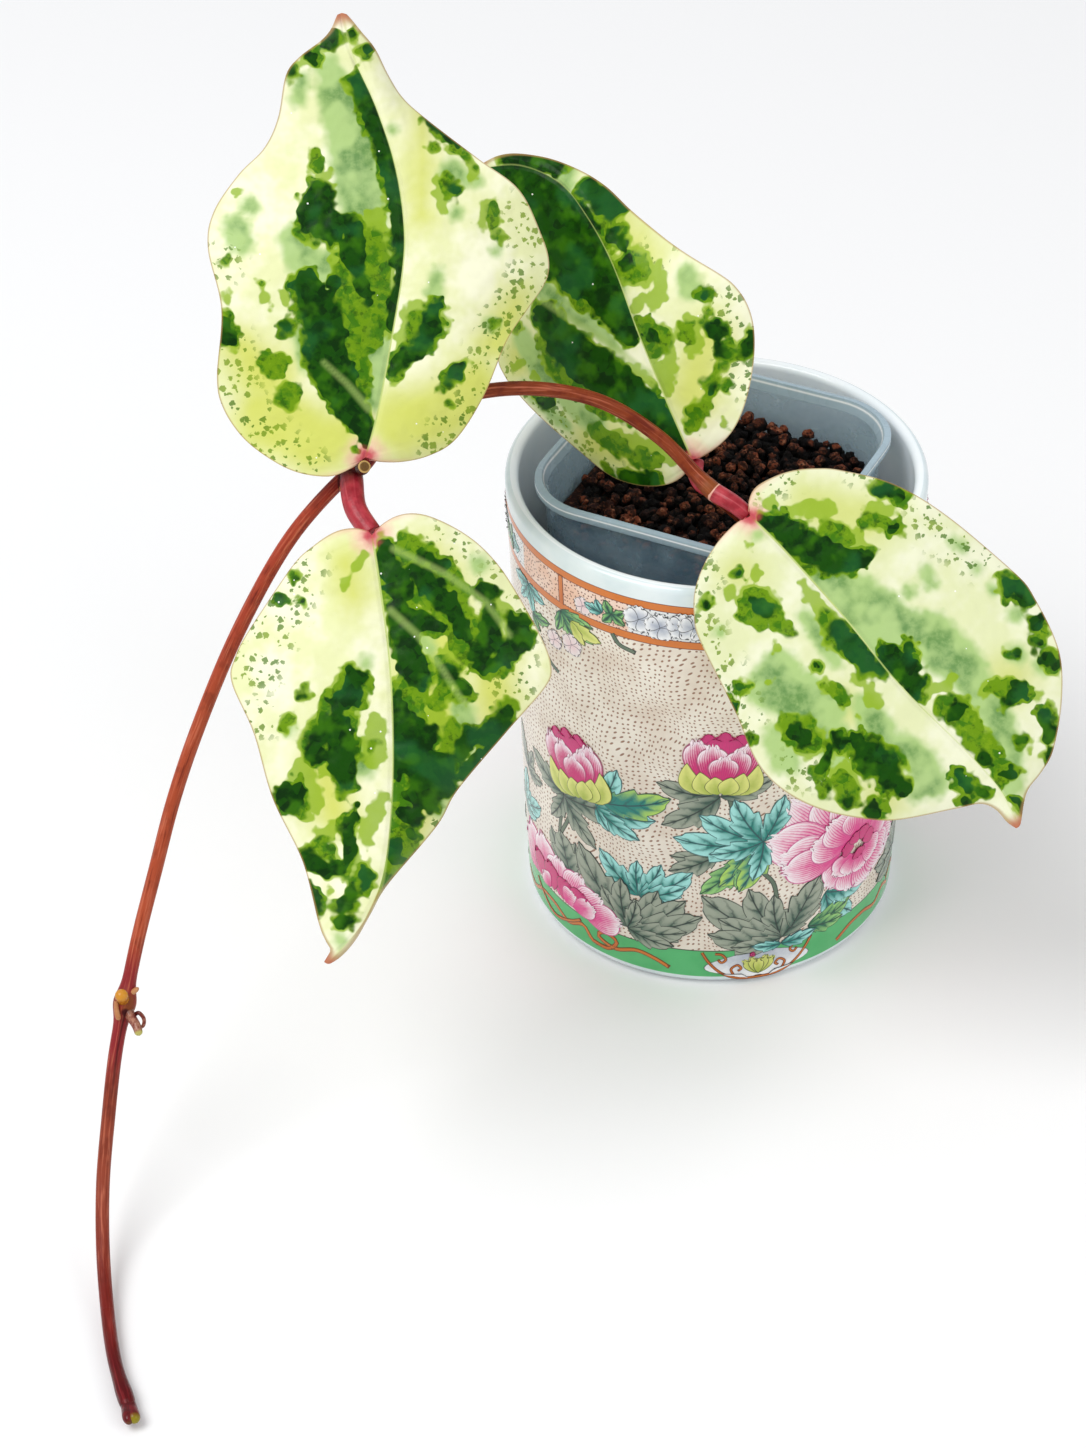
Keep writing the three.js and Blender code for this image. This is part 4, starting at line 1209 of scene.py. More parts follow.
MARKS["leaf_3", "right"] = {
    "warm": [[(6, 60, 5), (2, 72, 4)], [(6, 8, 3), (3, 16, 3)]],
    "sage": [[(-4, 60, 3), (-3, 55, 2)], (-2, 33, 1.5), (-3, 105, 1.5), (16, 52, 1.5)],
    "lime": [
        [(4, 78, 2.5), (2, 76, 1.5)], [(9, 74, 1.5), (13, 65, 2), (11, 61, 2), (8, 68, 2.5), (7, 71, 2)],
        [(-7, 58, 2.5), (-6, 53, 3), (-7, 48, 2)], [(-10, 68, 1.5), (-8, 72, 2), (-7, 76, 2),
        (-7, 79, 1.5)], (17, 51, 2), [(1.5, 5.5, 1), (5.5, 13.5, 0.8)], [(3, 58, 5.5), (4, 48, 5.5),
        (2, 40, 4)], (2, 84, 3.4), (1, 92, 1),
    ],
    "mid": [
        [(3, 83, 2.3), (5, 81, 2)], [(1, 60, 3.6), (2, 55, 4.6), (4, 50, 5.2), (4, 45, 4.4), (1, 42, 3.4)],
        (12, 65, 1.5), (17, 51, 1.6), [(9, 56, 3), (8, 50, 2.4)], (-6, 54, 1.5),
    ],
    "dark": [
        [(-3.5, 96, 2), (-2, 97, 1.5), (-5, 93, 2)], [(-3, 100, 1.5), (-5, 100, 1)], [(-8, 89, 1.8),
        (-7, 87, 1.5)], [(4, 98, 1.2), (6, 94, 1.8), (7, 92, 1.2)], [(-1, 87, 1.5), (3, 87, 2),
        (7, 85, 2.5), (8, 84, 1.5)], [(-3, 84, 1.5), (-3, 81, 1.8), (-2, 79, 1.5), (-2, 75, 1.5),
        (-3, 71, 1)], [(13, 71, 2.8), (15, 69, 2.8), (12, 68, 2)], [(0, 65, 2.3), (1, 60, 3.4),
        (2, 55, 3.8), (4, 50, 3.4)], [(4, 45, 2.4), (1, 42, 3), (0, 38, 2.6), (1, 36, 1.2)], [(8, 58, 2.4),
        (8, 53, 2.2), (7, 48, 1.4)], (13, 43, 0.8), (21.5, 18.5, 1.2), (17, 19, 0.7), (19, 13, 0.7),
    ],
    "pale": [],
    "speck": [[(24, 24, 5), (26, 36, 4), (17, 10, 3)], (24, 50, 2)],
}
count_strokes("leaf_3")

# %% [markdown]
# The fourth leaf spreads over the pot's right side. Sage veils cover much of it, with islands
# of mid and dark green.

# %% Marbling of leaf 4
MARKS["leaf_4", "left"] = {
    "warm": [[(-22, 20, 6), (-14, 8, 5)], (-24, 78, 5)],
    "sage": [
        [(-3, 18, 2.5), (-5, 27, 4.5), (-7, 35, 6.5), (-8, 43, 7.5), (-8, 50, 7)], [(-12, 50, 5),
        (-16, 56, 6), (-16, 62, 6.5), (-17, 68, 5.5), (-16, 74, 4.5), (-15, 84, 4), (-12, 92, 3.5),
        (-6, 100, 3)], (-33, 81, 2), (-37, 66, 2), (-37, 57, 1.5), (-30, 74, 2.6), [(-25, 45, 1.5),
        (-26, 42, 1.5)], (-19, 43, 1.5), (-37, 50, 1.2), [(-38, 43, 1), (-37, 40, 1)],
    ],
    "lime": [
        [(-17, 27, 2.4), (-17, 22, 2.6), (-13, 16, 2.6)], [(-17, 12, 2.5), (-13, 8, 2.5), (-9, 7, 2)],
        (-6, 1, 2), [(-10, 69, 1.5), (-8, 67, 1.5), (-5, 67, 1)], (-13, 68, 1.5), (-10, 84, 1.5),
        (-27, 86, 1.5), [(-29, 23, 2), (-26, 20, 2)], [(-22, 79, 3.2), (-18, 76, 2.2)],
    ],
    "mid": [
        [(-15, 21, 3), (-13, 17, 3)], [(-22, 79, 2.4), (-19, 77, 1.6)], [(-28, 28, 2), (-26, 25, 2),
        (-24, 22, 2), (-22, 21, 1.5)], [(-3.5, 98, 1.5), (-7, 95, 2.6), (-8, 90, 3.2), (-7, 84, 3.2),
        (-8, 78, 3.2), (-7, 73, 3.6)], [(-3, 12, 3), (-3, 22, 1.5)], (-41, 62, 3),
    ],
    "dark": [
        [(-1.5, 3, 1.3), (-4, 7, 3), (-5, 13, 4), (-7, 18, 4), (-9, 22, 4), (-12, 26, 3.2), (-16, 29, 1.8)],
        [(-2, 65, 1.5), (-4, 63, 2.5), (-5, 58, 3.6), (-4, 54, 3.6), (-3, 52, 2.6)], (-9, 54, 1.5),
        (-8, 75, 2.6), (-8, 97, 1.6), (-6, 90, 1.8), [(-5, 104, 1.2), (-4, 107, 1)], [(-19, 101, 1.2),
        (-20, 99.5, 1.2)], [(-23, 96, 2), (-24, 93, 2), (-25, 91, 1.5)], [(-24, 82, 2.5), (-20, 82, 1.5)],
        (-16, 92.5, 1.3), [(-37, 83, 1.8), (-35, 80, 1.5)], [(-36, 75, 1.2), (-34, 77, 0.7)],
        (-30, 74, 1.2), (-40, 71, 2.2), [(-42, 65, 2.3), (-43, 61, 2.3), (-41, 58, 1.8), (-39, 61, 1.3)],
        [(-34, 22, 1.6), (-33, 20, 1.2)], [(-34, 18, 1.4), (-31, 17, 1.8), (-30, 16, 1.3)], (-27, 27, 1.3),
    ],
    "pale": [],
    "speck": [[(-8, -4, 1.5), (-15, -2, 1)], [(-36, 32, 3), (-39, 46, 3)], (-32, 10, 2)],
}
MARKS["leaf_4", "right"] = {
    "warm": [(22, 80, 4), (12, 10, 4), (14, 56, 3)],
    "sage": [
        [(9, 86, 3.5), (8, 79, 4), (10, 73, 4)], (13, 84, 3.5), [(12, 66, 5), (10, 58, 3)], [(24, 66, 4.5),
        (22, 59, 5)], [(20, 52, 6.5), (22, 44, 7), (26, 38, 5.5), (20, 36, 4.5)], [(33, 50, 3.5),
        (35, 56, 3.5)], (26, 18, 1.2), (2, 5, 1), [(6, 30, 2), (8, 44, 2)],
    ],
    "lime": [
        [(2.5, 35, 2.6), (2, 28, 2), (1, 23, 1.2)], [(7, 59, 2.3), (6.5, 54, 1.6), (7, 51, 1.3)],
        (13, 59, 1), (17, 31, 1.3), [(10, 13, 1.5), (8, 12, 1)], (17, 12, 1.8), (25, 37, 1), (6, 6, 0.8),
        [(13, 28, 2), (12.5, 21, 4.2), (14, 17, 4)], [(27, 56, 5), (28, 50, 4)], [(28, 73, 4.4),
        (26, 69, 4)],
    ],
    "mid": [
        [(13, 53, 2), (13, 50, 2), (13.5, 48, 1.2)], [(28, 73, 3.6), (27, 70, 3)], [(27, 56, 3.6),
        (28, 52, 4), (28, 48, 2.2), (24, 53, 1.8)], [(3, 38, 2.6), (2.5, 34, 2)], [(12, 30, 1.5),
        (13, 26, 2.3), (13, 21, 3.7), (14, 18, 3.2), (18, 19, 1.8), (16, 24, 2.3)],
    ],
    "dark": [
        [(0.5, 54, 1), (2, 50, 2.8), (2.5, 46, 2.8), (2, 41, 3), (2.5, 38, 2.4)], [(16, 82, 2),
        (17, 78, 2.8), (15, 73, 3.6), (17, 69, 4.4), (20, 72, 2.3), (17, 64, 2)], (21, 61, 2), (24, 60, 1),
        [(0.5, 97, 0.8), (2.5, 93, 1.6), (2.5, 90, 1.4), (2.5, 88, 0.9)], (5.5, 95, 1), [(25, 82, 1.6),
        (26, 80, 1.5)], (29, 75, 1.2), [(27, 62.5, 1.7), (30, 63, 1.4)], (32, 69, 1.2), [(27.5, 55, 2.2),
        (28, 52, 2.4)], (38.5, 45, 1), (36, 36, 1), (36, 33, 0.8), (31, 33, 1.1), [(13, 22, 2.4),
        (14, 18, 1.8)], (24, 10, 0.9), (12.5, 10, 0.6), (13, 41.5, 0.5),
    ],
    "pale": [],
    "speck": [[(36, 40, 2.5), (30, 14, 3)], (34, 60, 2), (20, 4, 2)],
}
count_strokes("leaf_4")

# %% [markdown]
# Each point of a net learns how deep it lies inside the nearest stroke of every layer. That
# depth is kept, and not a colour, because the material can then move a patch's edge to and fro.
# The pattern is shifted by 60 mm from leaf to leaf, so that no two are alike.

# %% Painting the strokes on the nets
PATTERN_APART = 60.0
OUTSIDE = -8.0
COOLNESS = (0.0, 0.1, 0.0, 0.3)


def inside_strokes(points, strokes):
    # Millimetres inside (+) or outside (-) the nearest of some strokes.
    best = np.full(len(points), OUTSIDE)
    for stroke in strokes:
        dabs = np.array(stroke, float).reshape(-1, 3)
        for start, end in zip(dabs, dabs[1:] if len(dabs) > 1 else dabs):
            way = end[:2] - start[:2]
            share = np.clip((points - start[:2]) @ way / max(way @ way, 1e-9), 0, 1)
            gap = np.linalg.norm(points - start[:2] - share[:, None] * way, axis=1)
            best = np.maximum(best, start[2] + share * (end[2] - start[2]) - gap)
    return best


def paint(name, blade, order):
    beside = values_of(blade, "beside")
    plane = vertex_places(blade)[:, :2] / MM
    for layer in LAYERS:
        left = inside_strokes(plane, MARKS[name, "left"][layer])
        right = inside_strokes(plane, MARKS[name, "right"][layer])
        both = np.where(beside == 0, (left + right) / 2, np.where(beside < 0, left, right))
        set_attribute(blade, layer, both)
    set_attribute(blade, "spot", np.column_stack([plane, np.full(len(plane), PATTERN_APART * order)]))
    set_attribute(blade, "cool", np.full(len(plane), COOLNESS[order]))


for order, (name, blade) in enumerate(blades.items()):
    paint(name, blade, order)
print("layers on each net:", len(LAYERS))

# %% [markdown]
# The strokes have smooth edges, but real patches are ragged and lobed. A noise and soft cells,
# both about 2 mm across, move the edge of every layer. Each mid-green patch has a lime fringe,
# and each dark one a mid-green fringe, both of uneven width.

# %% Colours and ragged edges of the leaves
CREAM = tint(248, 247, 217)
STRAW = tint(229, 233, 176)
WARM = tint(206, 212, 92)
SAGE = tint(168, 200, 122)
SMOKE = tint(84, 136, 60)
LIME = tint(142, 176, 26)
MID = tint(56, 114, 4)
OLIVE = tint(104, 146, 8)
TEAL = tint(30, 98, 46)
DARK = tint(10, 68, 0)
DEEP = tint(0, 42, 0)
PINK = tint(238, 176, 166)
BLUSH = tint(196, 58, 78)
TAN = tint(186, 104, 78)


def ragged_edges(leaf, spot):
    # Millimetres inside (+) or outside (-) each layer, with its edge moved to and fro.
    wobble = leaf.times(leaf.minus(leaf.noise(spot, 0.3, 1, 0.5), 0.5), 3.2)
    lobes = leaf.times(leaf.minus(0.42, leaf.cells(spot, 0.46, feature="SMOOTH_F1")), 2.7)
    ragged = leaf.plus(wobble, lobes)

    def edge(name, lift, rag):
        return leaf.plus(leaf.plus(leaf.value(name), lift), leaf.times(ragged, rag))

    dark_edge = edge("dark", 0.25, 1.0)
    fringe = leaf.range(leaf.noise(spot, 0.16, 1), 0.35, 0.65, 0.15, 1.5)
    mid_edge = leaf.larger(edge("mid", 0.3, 0.9), leaf.plus(dark_edge, fringe))
    halo = leaf.plus(mid_edge, leaf.range(leaf.noise(spot, 0.13, 1), 0.4, 0.65, -0.3, 0.9))
    lime_edge = leaf.larger(edge("lime", 0.3, 1.0), halo)
    return edge("sage", 0.6, 0.6), lime_edge, mid_edge, dark_edge


print("a leaf's dark green shines back", [round(part, 3) for part in DARK])

# %% [markdown]
# The ground is cream with broad straw streaks, a warm wash, and a pink blush round the base
# that runs a little way along the margin. Two leaves are a little cooler.


# %% Ground colour of a leaf
def ground_colour(leaf, broad, root):
    colour = leaf.lay(CREAM, STRAW, broad, 0.34, 0.62, 0.1, 0.95)
    colour = leaf.lay(colour, WARM, leaf.value("warm"), -8, 5, 0, 0.9)
    colour = leaf.mix(leaf.times(leaf.value("cool"), 0.8), colour, tint(204, 214, 184))
    margin = leaf.times(leaf.range(leaf.value("rim"), 2.2, 0.3), leaf.range(root, 16, 3, 0, 0.6))
    pink = leaf.larger(leaf.range(root, 7.5, 1.5, 0, 0.8), margin)
    return leaf.mix(pink, colour, PINK)


# %% [markdown]
# The greens lie over the ground from light to dark. None is even: cells and noises mix two or
# three tones into each. In smoky parts the edges are soft, elsewhere sharp.


# %% Greens of a leaf
def lay_greens(leaf, colour, spot, edges):
    sage_edge, lime_edge, mid_edge, dark_edge = edges
    smoky = leaf.range(leaf.noise(spot, 0.1, 2), 0.42, 0.62)
    cell = leaf.cells(spot, 0.42, output="Color")
    mottle = leaf.plus(leaf.times(cell, 0.35), leaf.noise(spot, 0.24, 3, 0.6))
    flecks = leaf.noise(spot, 0.42, 4, 0.62)
    washed = leaf.times(leaf.range(flecks, 0.3, 0.66, 0.5, 1), leaf.range(sage_edge, -0.5, 3.5))
    smoke = leaf.mix(leaf.times(smoky, washed), SAGE, SMOKE)
    colour = leaf.lay(colour, smoke, sage_edge, -1.6, 1.6, 0, 0.92)
    colour = leaf.lay(colour, LIME, lime_edge, -0.4, 0.5, 0, 0.88)
    green = leaf.lay(MID, OLIVE, mottle, 0.52, 0.74)
    green = leaf.lay(green, DARK, flecks, 0.54, 0.66, 0, 0.6)
    green = leaf.lay(green, LIME, flecks, 0.42, 0.34, 0, 0.3)
    soft = leaf.range(smoky, 0, 1, 0.22, 0.8)
    colour = leaf.lay(colour, green, mid_edge, leaf.times(soft, -1), soft, 0, 0.96)
    deep = leaf.lay(DEEP, DARK, mottle, 0.5, 0.76)
    deep = leaf.lay(deep, MID, leaf.noise(spot, 0.17, 2), 0.5, 0.68, 0, 0.7)
    deep = leaf.lay(deep, TEAL, leaf.noise(spot, 0.08, 2), 0.5, 0.64, 0, 0.55)
    return leaf.lay(colour, deep, dark_edge, leaf.times(soft, -0.9), soft, 0, 0.97)


# %% [markdown]
# Fine specks gather near the margins. Hundreds of strokes would be needed for them, so they sit
# in the middles of small random cells instead. A cell's own colour draws lots: whether it holds
# a speck, and how large it is.


# %% Specks of a leaf
def lay_specks(leaf, colour, spot, broad, lime_edge):
    near = leaf.value("speck")
    grain = leaf.cells(spot, 0.46, voronoi_dimensions="2D")
    lot = leaf.cells(spot, 0.46, output="Color", voronoi_dimensions="2D")
    crowd = leaf.range(leaf.noise(spot, 0.2, 1), 0.36, 0.56, 0.2, 1.0)
    limit = leaf.times(crowd, leaf.range(near, -6, 1, 0.5, 1.0))
    chosen = leaf.math("LESS_THAN", lot, limit)
    uneven = leaf.range(leaf.noise(spot, 1.2, 1), 0.3, 0.7, -0.12, 0.12)
    size = leaf.plus(leaf.range(lot, 0.0, 0.7, 0.48, 0.12), uneven)
    speck = leaf.range(leaf.minus(size, grain), -0.05, 0.05)
    speck = leaf.times(speck, leaf.range(lime_edge, 0.4, -0.2))
    speck = leaf.times(leaf.times(speck, chosen), leaf.range(near, -7, -1))
    speck_green = leaf.lay(tint(72, 118, 8), tint(124, 154, 26), broad, 0.4, 0.6)
    return leaf.mix(leaf.times(speck, 0.85), colour, speck_green)


# %% [markdown]
# Over the patches come the pale midrib, a few pale side streaks, white dots, a thin brownish
# line round the margin, a tan tip and the red foot. All but the dots follow distances that the
# net keeps, so they end where the leaf does.


# %% Lines, dots and tip of a leaf
def lay_lines(leaf, colour, spot, beside, root):
    fade = leaf.range(leaf.value("share"), 0.35, 0.95, 0.9, 0.35)
    colour = leaf.mix(leaf.times(leaf.range(beside, 0.5, 0.15), fade), colour, tint(190, 206, 120))
    colour = leaf.lay(colour, tint(160, 188, 100), leaf.value("pale"), -1.4, 0.2, 0, 0.55)
    dots = leaf.math("LESS_THAN", leaf.cells(spot, 0.14), 0.035)
    colour = leaf.mix(leaf.times(dots, 0.8), colour, tint(255, 255, 250))
    colour = leaf.lay(colour, tint(168, 132, 84), leaf.value("rim"), 0.55, 0.1, 0, 0.7)
    colour = leaf.lay(colour, TAN, leaf.value("tip"), 4.5, 0.5, 0, 0.85)
    return leaf.lay(colour, BLUSH, root, 3.8, 0.6, 0, 0.9)


# %% [markdown]
# The surface is satin and gently quilted, with the midrib in a shallow valley, faint side veins
# and fine pores. These are finer than the net's squares, so they are bumps of the material, one
# laid over another.


# %% Relief of a leaf and its whole finish
def leaf_relief(leaf, spot, beside):
    between = leaf.unsigned(leaf.minus(leaf.math("FRACT", leaf.value("vein")), 0.5))
    quilt = leaf.bump(leaf.noise(spot, 0.12, 2), 0.002, 0.6)
    sunk = leaf.bump(leaf.range(between, 0.16, 0.01, 1, 0), 0.0001, 0.6, quilt)
    valley = leaf.bump(leaf.range(beside, 1.6, 0.1, 1, 0), 0.0004, 0.8, sunk)
    return leaf.bump(leaf.noise(spot, 3.2, 2), 0.00003, 0.5, valley)


def leaf_finish():
    leaf = Finish("leaf_face", Roughness=0.36, Specular_IOR_Level=0.12)
    spot = leaf.vector("spot")
    broad = leaf.noise(spot, 0.075, 3, 0.6)
    beside = leaf.unsigned(leaf.value("beside"))
    root = leaf.plus(leaf.value("root"), leaf.range(leaf.noise(spot, 0.35, 2), 0.3, 0.7, -0.6, 0.6))
    edges = ragged_edges(leaf, spot)
    colour = lay_greens(leaf, ground_colour(leaf, broad, root), spot, edges)
    colour = lay_specks(leaf, colour, spot, broad, edges[1])
    colour = lay_lines(leaf, colour, spot, beside, root)
    rough = leaf.range(leaf.noise(spot, 0.5, 3), 0.3, 0.7, 0.28, 0.42)
    return leaf.set(Base_Color=colour, Normal=leaf_relief(leaf, spot, beside), Roughness=rough)


# %% [markdown]
# The underside isn't in the photo. On such plants it is a duller, paler green. The dark patches
# shine through a little, and the veins stand out.


# %% Underside and thickness of the leaves
def underside_finish():
    under = Finish("leaf_underside", Roughness=0.5)
    spot = under.vector("spot")
    wobble = under.times(under.minus(under.noise(spot, 0.42, 3, 0.62, 0.4), 0.5), 3)
    shadow = under.range(under.plus(under.value("dark"), wobble), -1, 1.5, 0, 0.6)
    middle = under.range(under.plus(under.value("mid"), wobble), -1, 1.5, 0, 0.5)
    colour = under.mix(middle, tint(216, 222, 158), tint(150, 178, 92))
    colour = under.mix(shadow, colour, tint(104, 142, 84))
    beside = under.unsigned(under.value("beside"))
    colour = under.lay(colour, tint(208, 206, 140), beside, 1.5, 0.5, 0, 0.8)
    between = under.unsigned(under.minus(under.math("FRACT", under.value("vein")), 0.5))
    colour = under.lay(colour, tint(214, 220, 160), between, 0.04, 0.005, 0, 0.4)
    colour = under.lay(colour, BLUSH, under.value("root"), 5, 0.8, 0, 0.8)
    raised = under.bump(under.range(between, 0.05, 0.005), 0.0002, 0.6)
    pores = under.bump(under.noise(spot, 2.5, 3), 0.00005, 0.5, raised)
    return under.set(Base_Color=colour, Normal=pores)


face_material = leaf_finish()
under_material = underside_finish()
for name, blade in blades.items():
    dress(blade, face_material, under_material)
    thicken(blade, LEAVES[name])
    keep(blade, "marbled_" + name, "blade", name)
print("nodes in the leaf's face:", len(face_material.node_tree.nodes))

# %% [markdown]
# The stem is brown-red bark with fine lengthwise lines, redder near some nodes and crimson near
# its tip. An image would have to be wrapped round it. Here the tones follow the distance along
# it, and the lines are a noise on the unrolled skin, drawn out lengthwise.

# %% Bark of the stem
NODE_A_RUN, NODE_B_RUN, NODE_C_RUN = node_runs
BARK_TONES = [
    (NODE_B_RUN - 14, NODE_B_RUN - 4, tint(122, 18, 12)),
    (NODE_B_RUN + 6, NODE_B_RUN + 20, tint(166, 64, 42)),
    (NODE_B_RUN + 50, NODE_B_RUN + 90, tint(172, 74, 44)),
    (NODE_C_RUN - 20, NODE_C_RUN - 7, tint(140, 36, 40)),
    (NODE_C_RUN + 12, NODE_C_RUN + 28, tint(144, 62, 40)),
    (vine_length - 78, vine_length - 34, tint(116, 28, 20)),
    (vine_length - 32, vine_length - 10, tint(84, 2, 8)),
]


def along_stripes(finish, fineness=1.5, length=0.05):
    drawn_long = finish.node("ShaderNodeMapping", {"Vector": finish.vector("skin"), "Scale": (1, 1, length)})
    return finish.noise(drawn_long.outputs["Vector"], fineness, 3, 0.6)


def stem_finish():
    bark = Finish("stem_bark", Specular_IOR_Level=0.18)
    run = bark.value("run")
    place = bark.place()
    stripes = along_stripes(bark)
    patches = bark.noise(place, 160, 3, 0.6)
    colour = bark.lay(tint(112, 38, 12), tint(142, 62, 26), patches, 0.35, 0.65)
    for start, end, tone in BARK_TONES:
        colour = bark.lay(colour, tone, run, start, end)
    young = bark.range(run, vine_length - 60, vine_length - 20)
    colour = bark.lay(colour, tint(96, 30, 14), patches, 0.5, 0.66, 0, 0.35)
    light = bark.mix(young, tint(214, 122, 92), tint(146, 40, 44))
    colour = bark.lay(colour, light, stripes, 0.5, 0.72, 0, 0.6)
    colour = bark.lay(colour, tint(84, 14, 8), stripes, 0.44, 0.3, 0, 0.6)
    for node_run in (NODE_A_RUN, NODE_C_RUN):
        near = bark.unsigned(bark.minus(run, node_run))
        rough_skin = bark.times(bark.range(near, 4.5, 1.5), bark.range(patches, 0.4, 0.6, 0.2, 0.8))
        colour = bark.mix(rough_skin, colour, tint(138, 74, 34))
    # Painted shade in the groove and the hollow at the third node.
    groove_shade = bark.times(bark.range(bark.value("groove_shade"), 0.55, 0.15), bark.value("grooved"))
    colour = bark.mix(bark.times(groove_shade, 0.75), colour, tint(66, 6, 12))
    colour = bark.lay(colour, tint(58, 2, 8), bark.value("hollow_shade"), 1.5, 0.7, 0, 0.95)
    # Painted shade where the stalks meet the stem.
    colour = bark.lay(colour, tint(60, 4, 6), bark.value("joint_shade"), 0.8, 0.2, 0, 0.9)
    stub = bark.range(run, SPUR_RUN + 0.5, SPUR_RUN + 1.5)
    colour = bark.mix(stub, colour, tint(56, 24, 10))
    colour = bark.lay(colour, tint(190, 154, 92), run, *SPUR_RIM)
    colour = bark.lay(colour, tint(104, 74, 32), run, *SPUR_FACE)
    dry = bark.lay(tint(186, 120, 76), tint(216, 162, 112), patches, 0.35, 0.65)
    colour = bark.mix(bark.math("GREATER_THAN", run, BARE_RUN - 10), colour, dry)
    lumps = bark.bump(bark.noise(place, 260, 2), 0.0006, 0.5)
    grooves = bark.bump(stripes, 0.0004, 0.7, lumps)
    return bark.set(Base_Color=colour, Normal=grooves, Roughness=bark.range(young, 0, 1, 0.42, 0.24))


dress(vine, stem_finish())
print("tones along the stem:", len(BARK_TONES))


# %% [markdown]
# Stalks are pink-red and fleshy, the buds amber and brown, and the folded leaves dark red with
# yellow-green ends. All reuse the stripes of the bark, and the buds share one recipe with other
# colours: foot, body, light flecks and end.


# %% Skins of stalks and buds
def stalk_finish():
    skin = Finish("stalk_skin", Roughness=0.34, Specular_IOR_Level=0.35)
    place = skin.place()
    share = skin.value("share")
    stripes = along_stripes(skin, 1.3)
    patches = skin.noise(place, 240, 3, 0.6)
    colour = skin.lay(tint(148, 26, 40), tint(184, 54, 66), patches, 0.35, 0.65)
    colour = skin.lay(colour, tint(218, 104, 110), stripes, 0.5, 0.72, 0, 0.35)
    colour = skin.lay(colour, tint(112, 8, 28), stripes, 0.44, 0.3, 0, 0.2)
    colour = skin.lay(colour, tint(150, 24, 40), share, 0.85, 1.0, 0, 0.6)
    # Painted shade where the stalk meets the stem.
    colour = skin.lay(colour, tint(78, 6, 12), skin.value("joint_shade"), 1.5, 0.2, 0, 0.85)
    colour = skin.lay(colour, tint(226, 172, 148), skin.value("collar"), 0.22, 0.12, 0, 0.9)
    lumps = skin.bump(skin.noise(place, 330, 2), 0.0005, 0.5)
    return skin.set(Base_Color=colour, Normal=skin.bump(stripes, 0.0003, 0.5, lumps))


def bud_finish(name, foot, body, light, end, ending):
    bud = Finish(name, Roughness=0.24, Specular_IOR_Level=0.3)
    place = bud.place()
    share = bud.value("share")
    stripes = along_stripes(bud, 1.4, 0.12)
    colour = bud.lay(body, light, bud.noise(place, 420, 3, 0.6), 0.35, 0.65)
    colour = bud.lay(colour, foot, stripes, 0.46, 0.3, 0, 0.7)
    colour = bud.lay(colour, foot, share, 0.45, 0.15, 0, 0.9)
    colour = bud.lay(colour, end, share, *ending)
    return bud.set(Base_Color=colour, Normal=bud.bump(bud.noise(place, 500, 3), 0.0003, 0.6))


BUD_SKINS = {
    "node_bud": (tint(98, 42, 12), tint(140, 72, 14), tint(196, 128, 36), tint(206, 140, 42), (0.7, 0.95)),
    "young_stalk": (
        tint(70, 10, 12), tint(112, 40, 34), tint(182, 130, 106), tint(186, 180, 96), (0.86, 0.96)),
    "tip_leaves": (tint(58, 0, 4), tint(80, 2, 8), tint(112, 12, 20), tint(140, 128, 10), (0.78, 1.0)),
}

stalk_material = stalk_finish()
for piece in stalk_pieces.values():
    dress(piece, stalk_material)
for name, piece in bud_pieces.items():
    dress(piece, bud_finish(piece.name + "_skin", *BUD_SKINS[name]))
print("skins for buds:", len(BUD_SKINS))

# %% [markdown]
# The granules are dull and gritty, some red-brown and some nearly black. Each lump's own shade
# value sets its colour, so one material serves all. Flecks and pores come from noise and cells.
# Points that lie deep between the lumps get a painted shade, nearly black.


# %% Baked granules
def granule_finish():
    clay = Finish("baked_granules", Roughness=0.85, Specular_IOR_Level=0.25)
    place = clay.place()
    shade = clay.value("shade")
    colour = clay.lay(tint(44, 14, 6), tint(126, 62, 38), shade, 0.15, 0.65)
    grit = clay.noise(place, 900, 4, 0.7)
    flecks = clay.times(clay.range(grit, 0.5, 0.66), clay.range(shade, 0.1, 0.6, 0.3, 0.9))
    colour = clay.mix(flecks, colour, tint(190, 126, 92))
    pits = clay.range(clay.cells(place, 900), 0.42, 0.26)
    pores = clay.larger(pits, clay.range(clay.noise(place, 520, 3, 0.6), 0.5, 0.4))
    colour = clay.mix(clay.times(pores, 0.85), colour, tint(16, 4, 1))
    # Painted shade: what lies deep between the lumps goes nearly black.
    sunk = clay.plus(clay.value("sunk"), clay.range(clay.noise(place, 150, 2), 0.3, 0.7, -0.8, 0.8))
    colour = clay.lay(colour, tint(4, 0, 0), sunk, 0.3, 1.7, 0, 1)
    return clay.set(Base_Color=colour, Normal=clay.bump(grit, 0.001, 1.0))


dress(granules, granule_finish())
print("one material for", len(stones), "lumps")
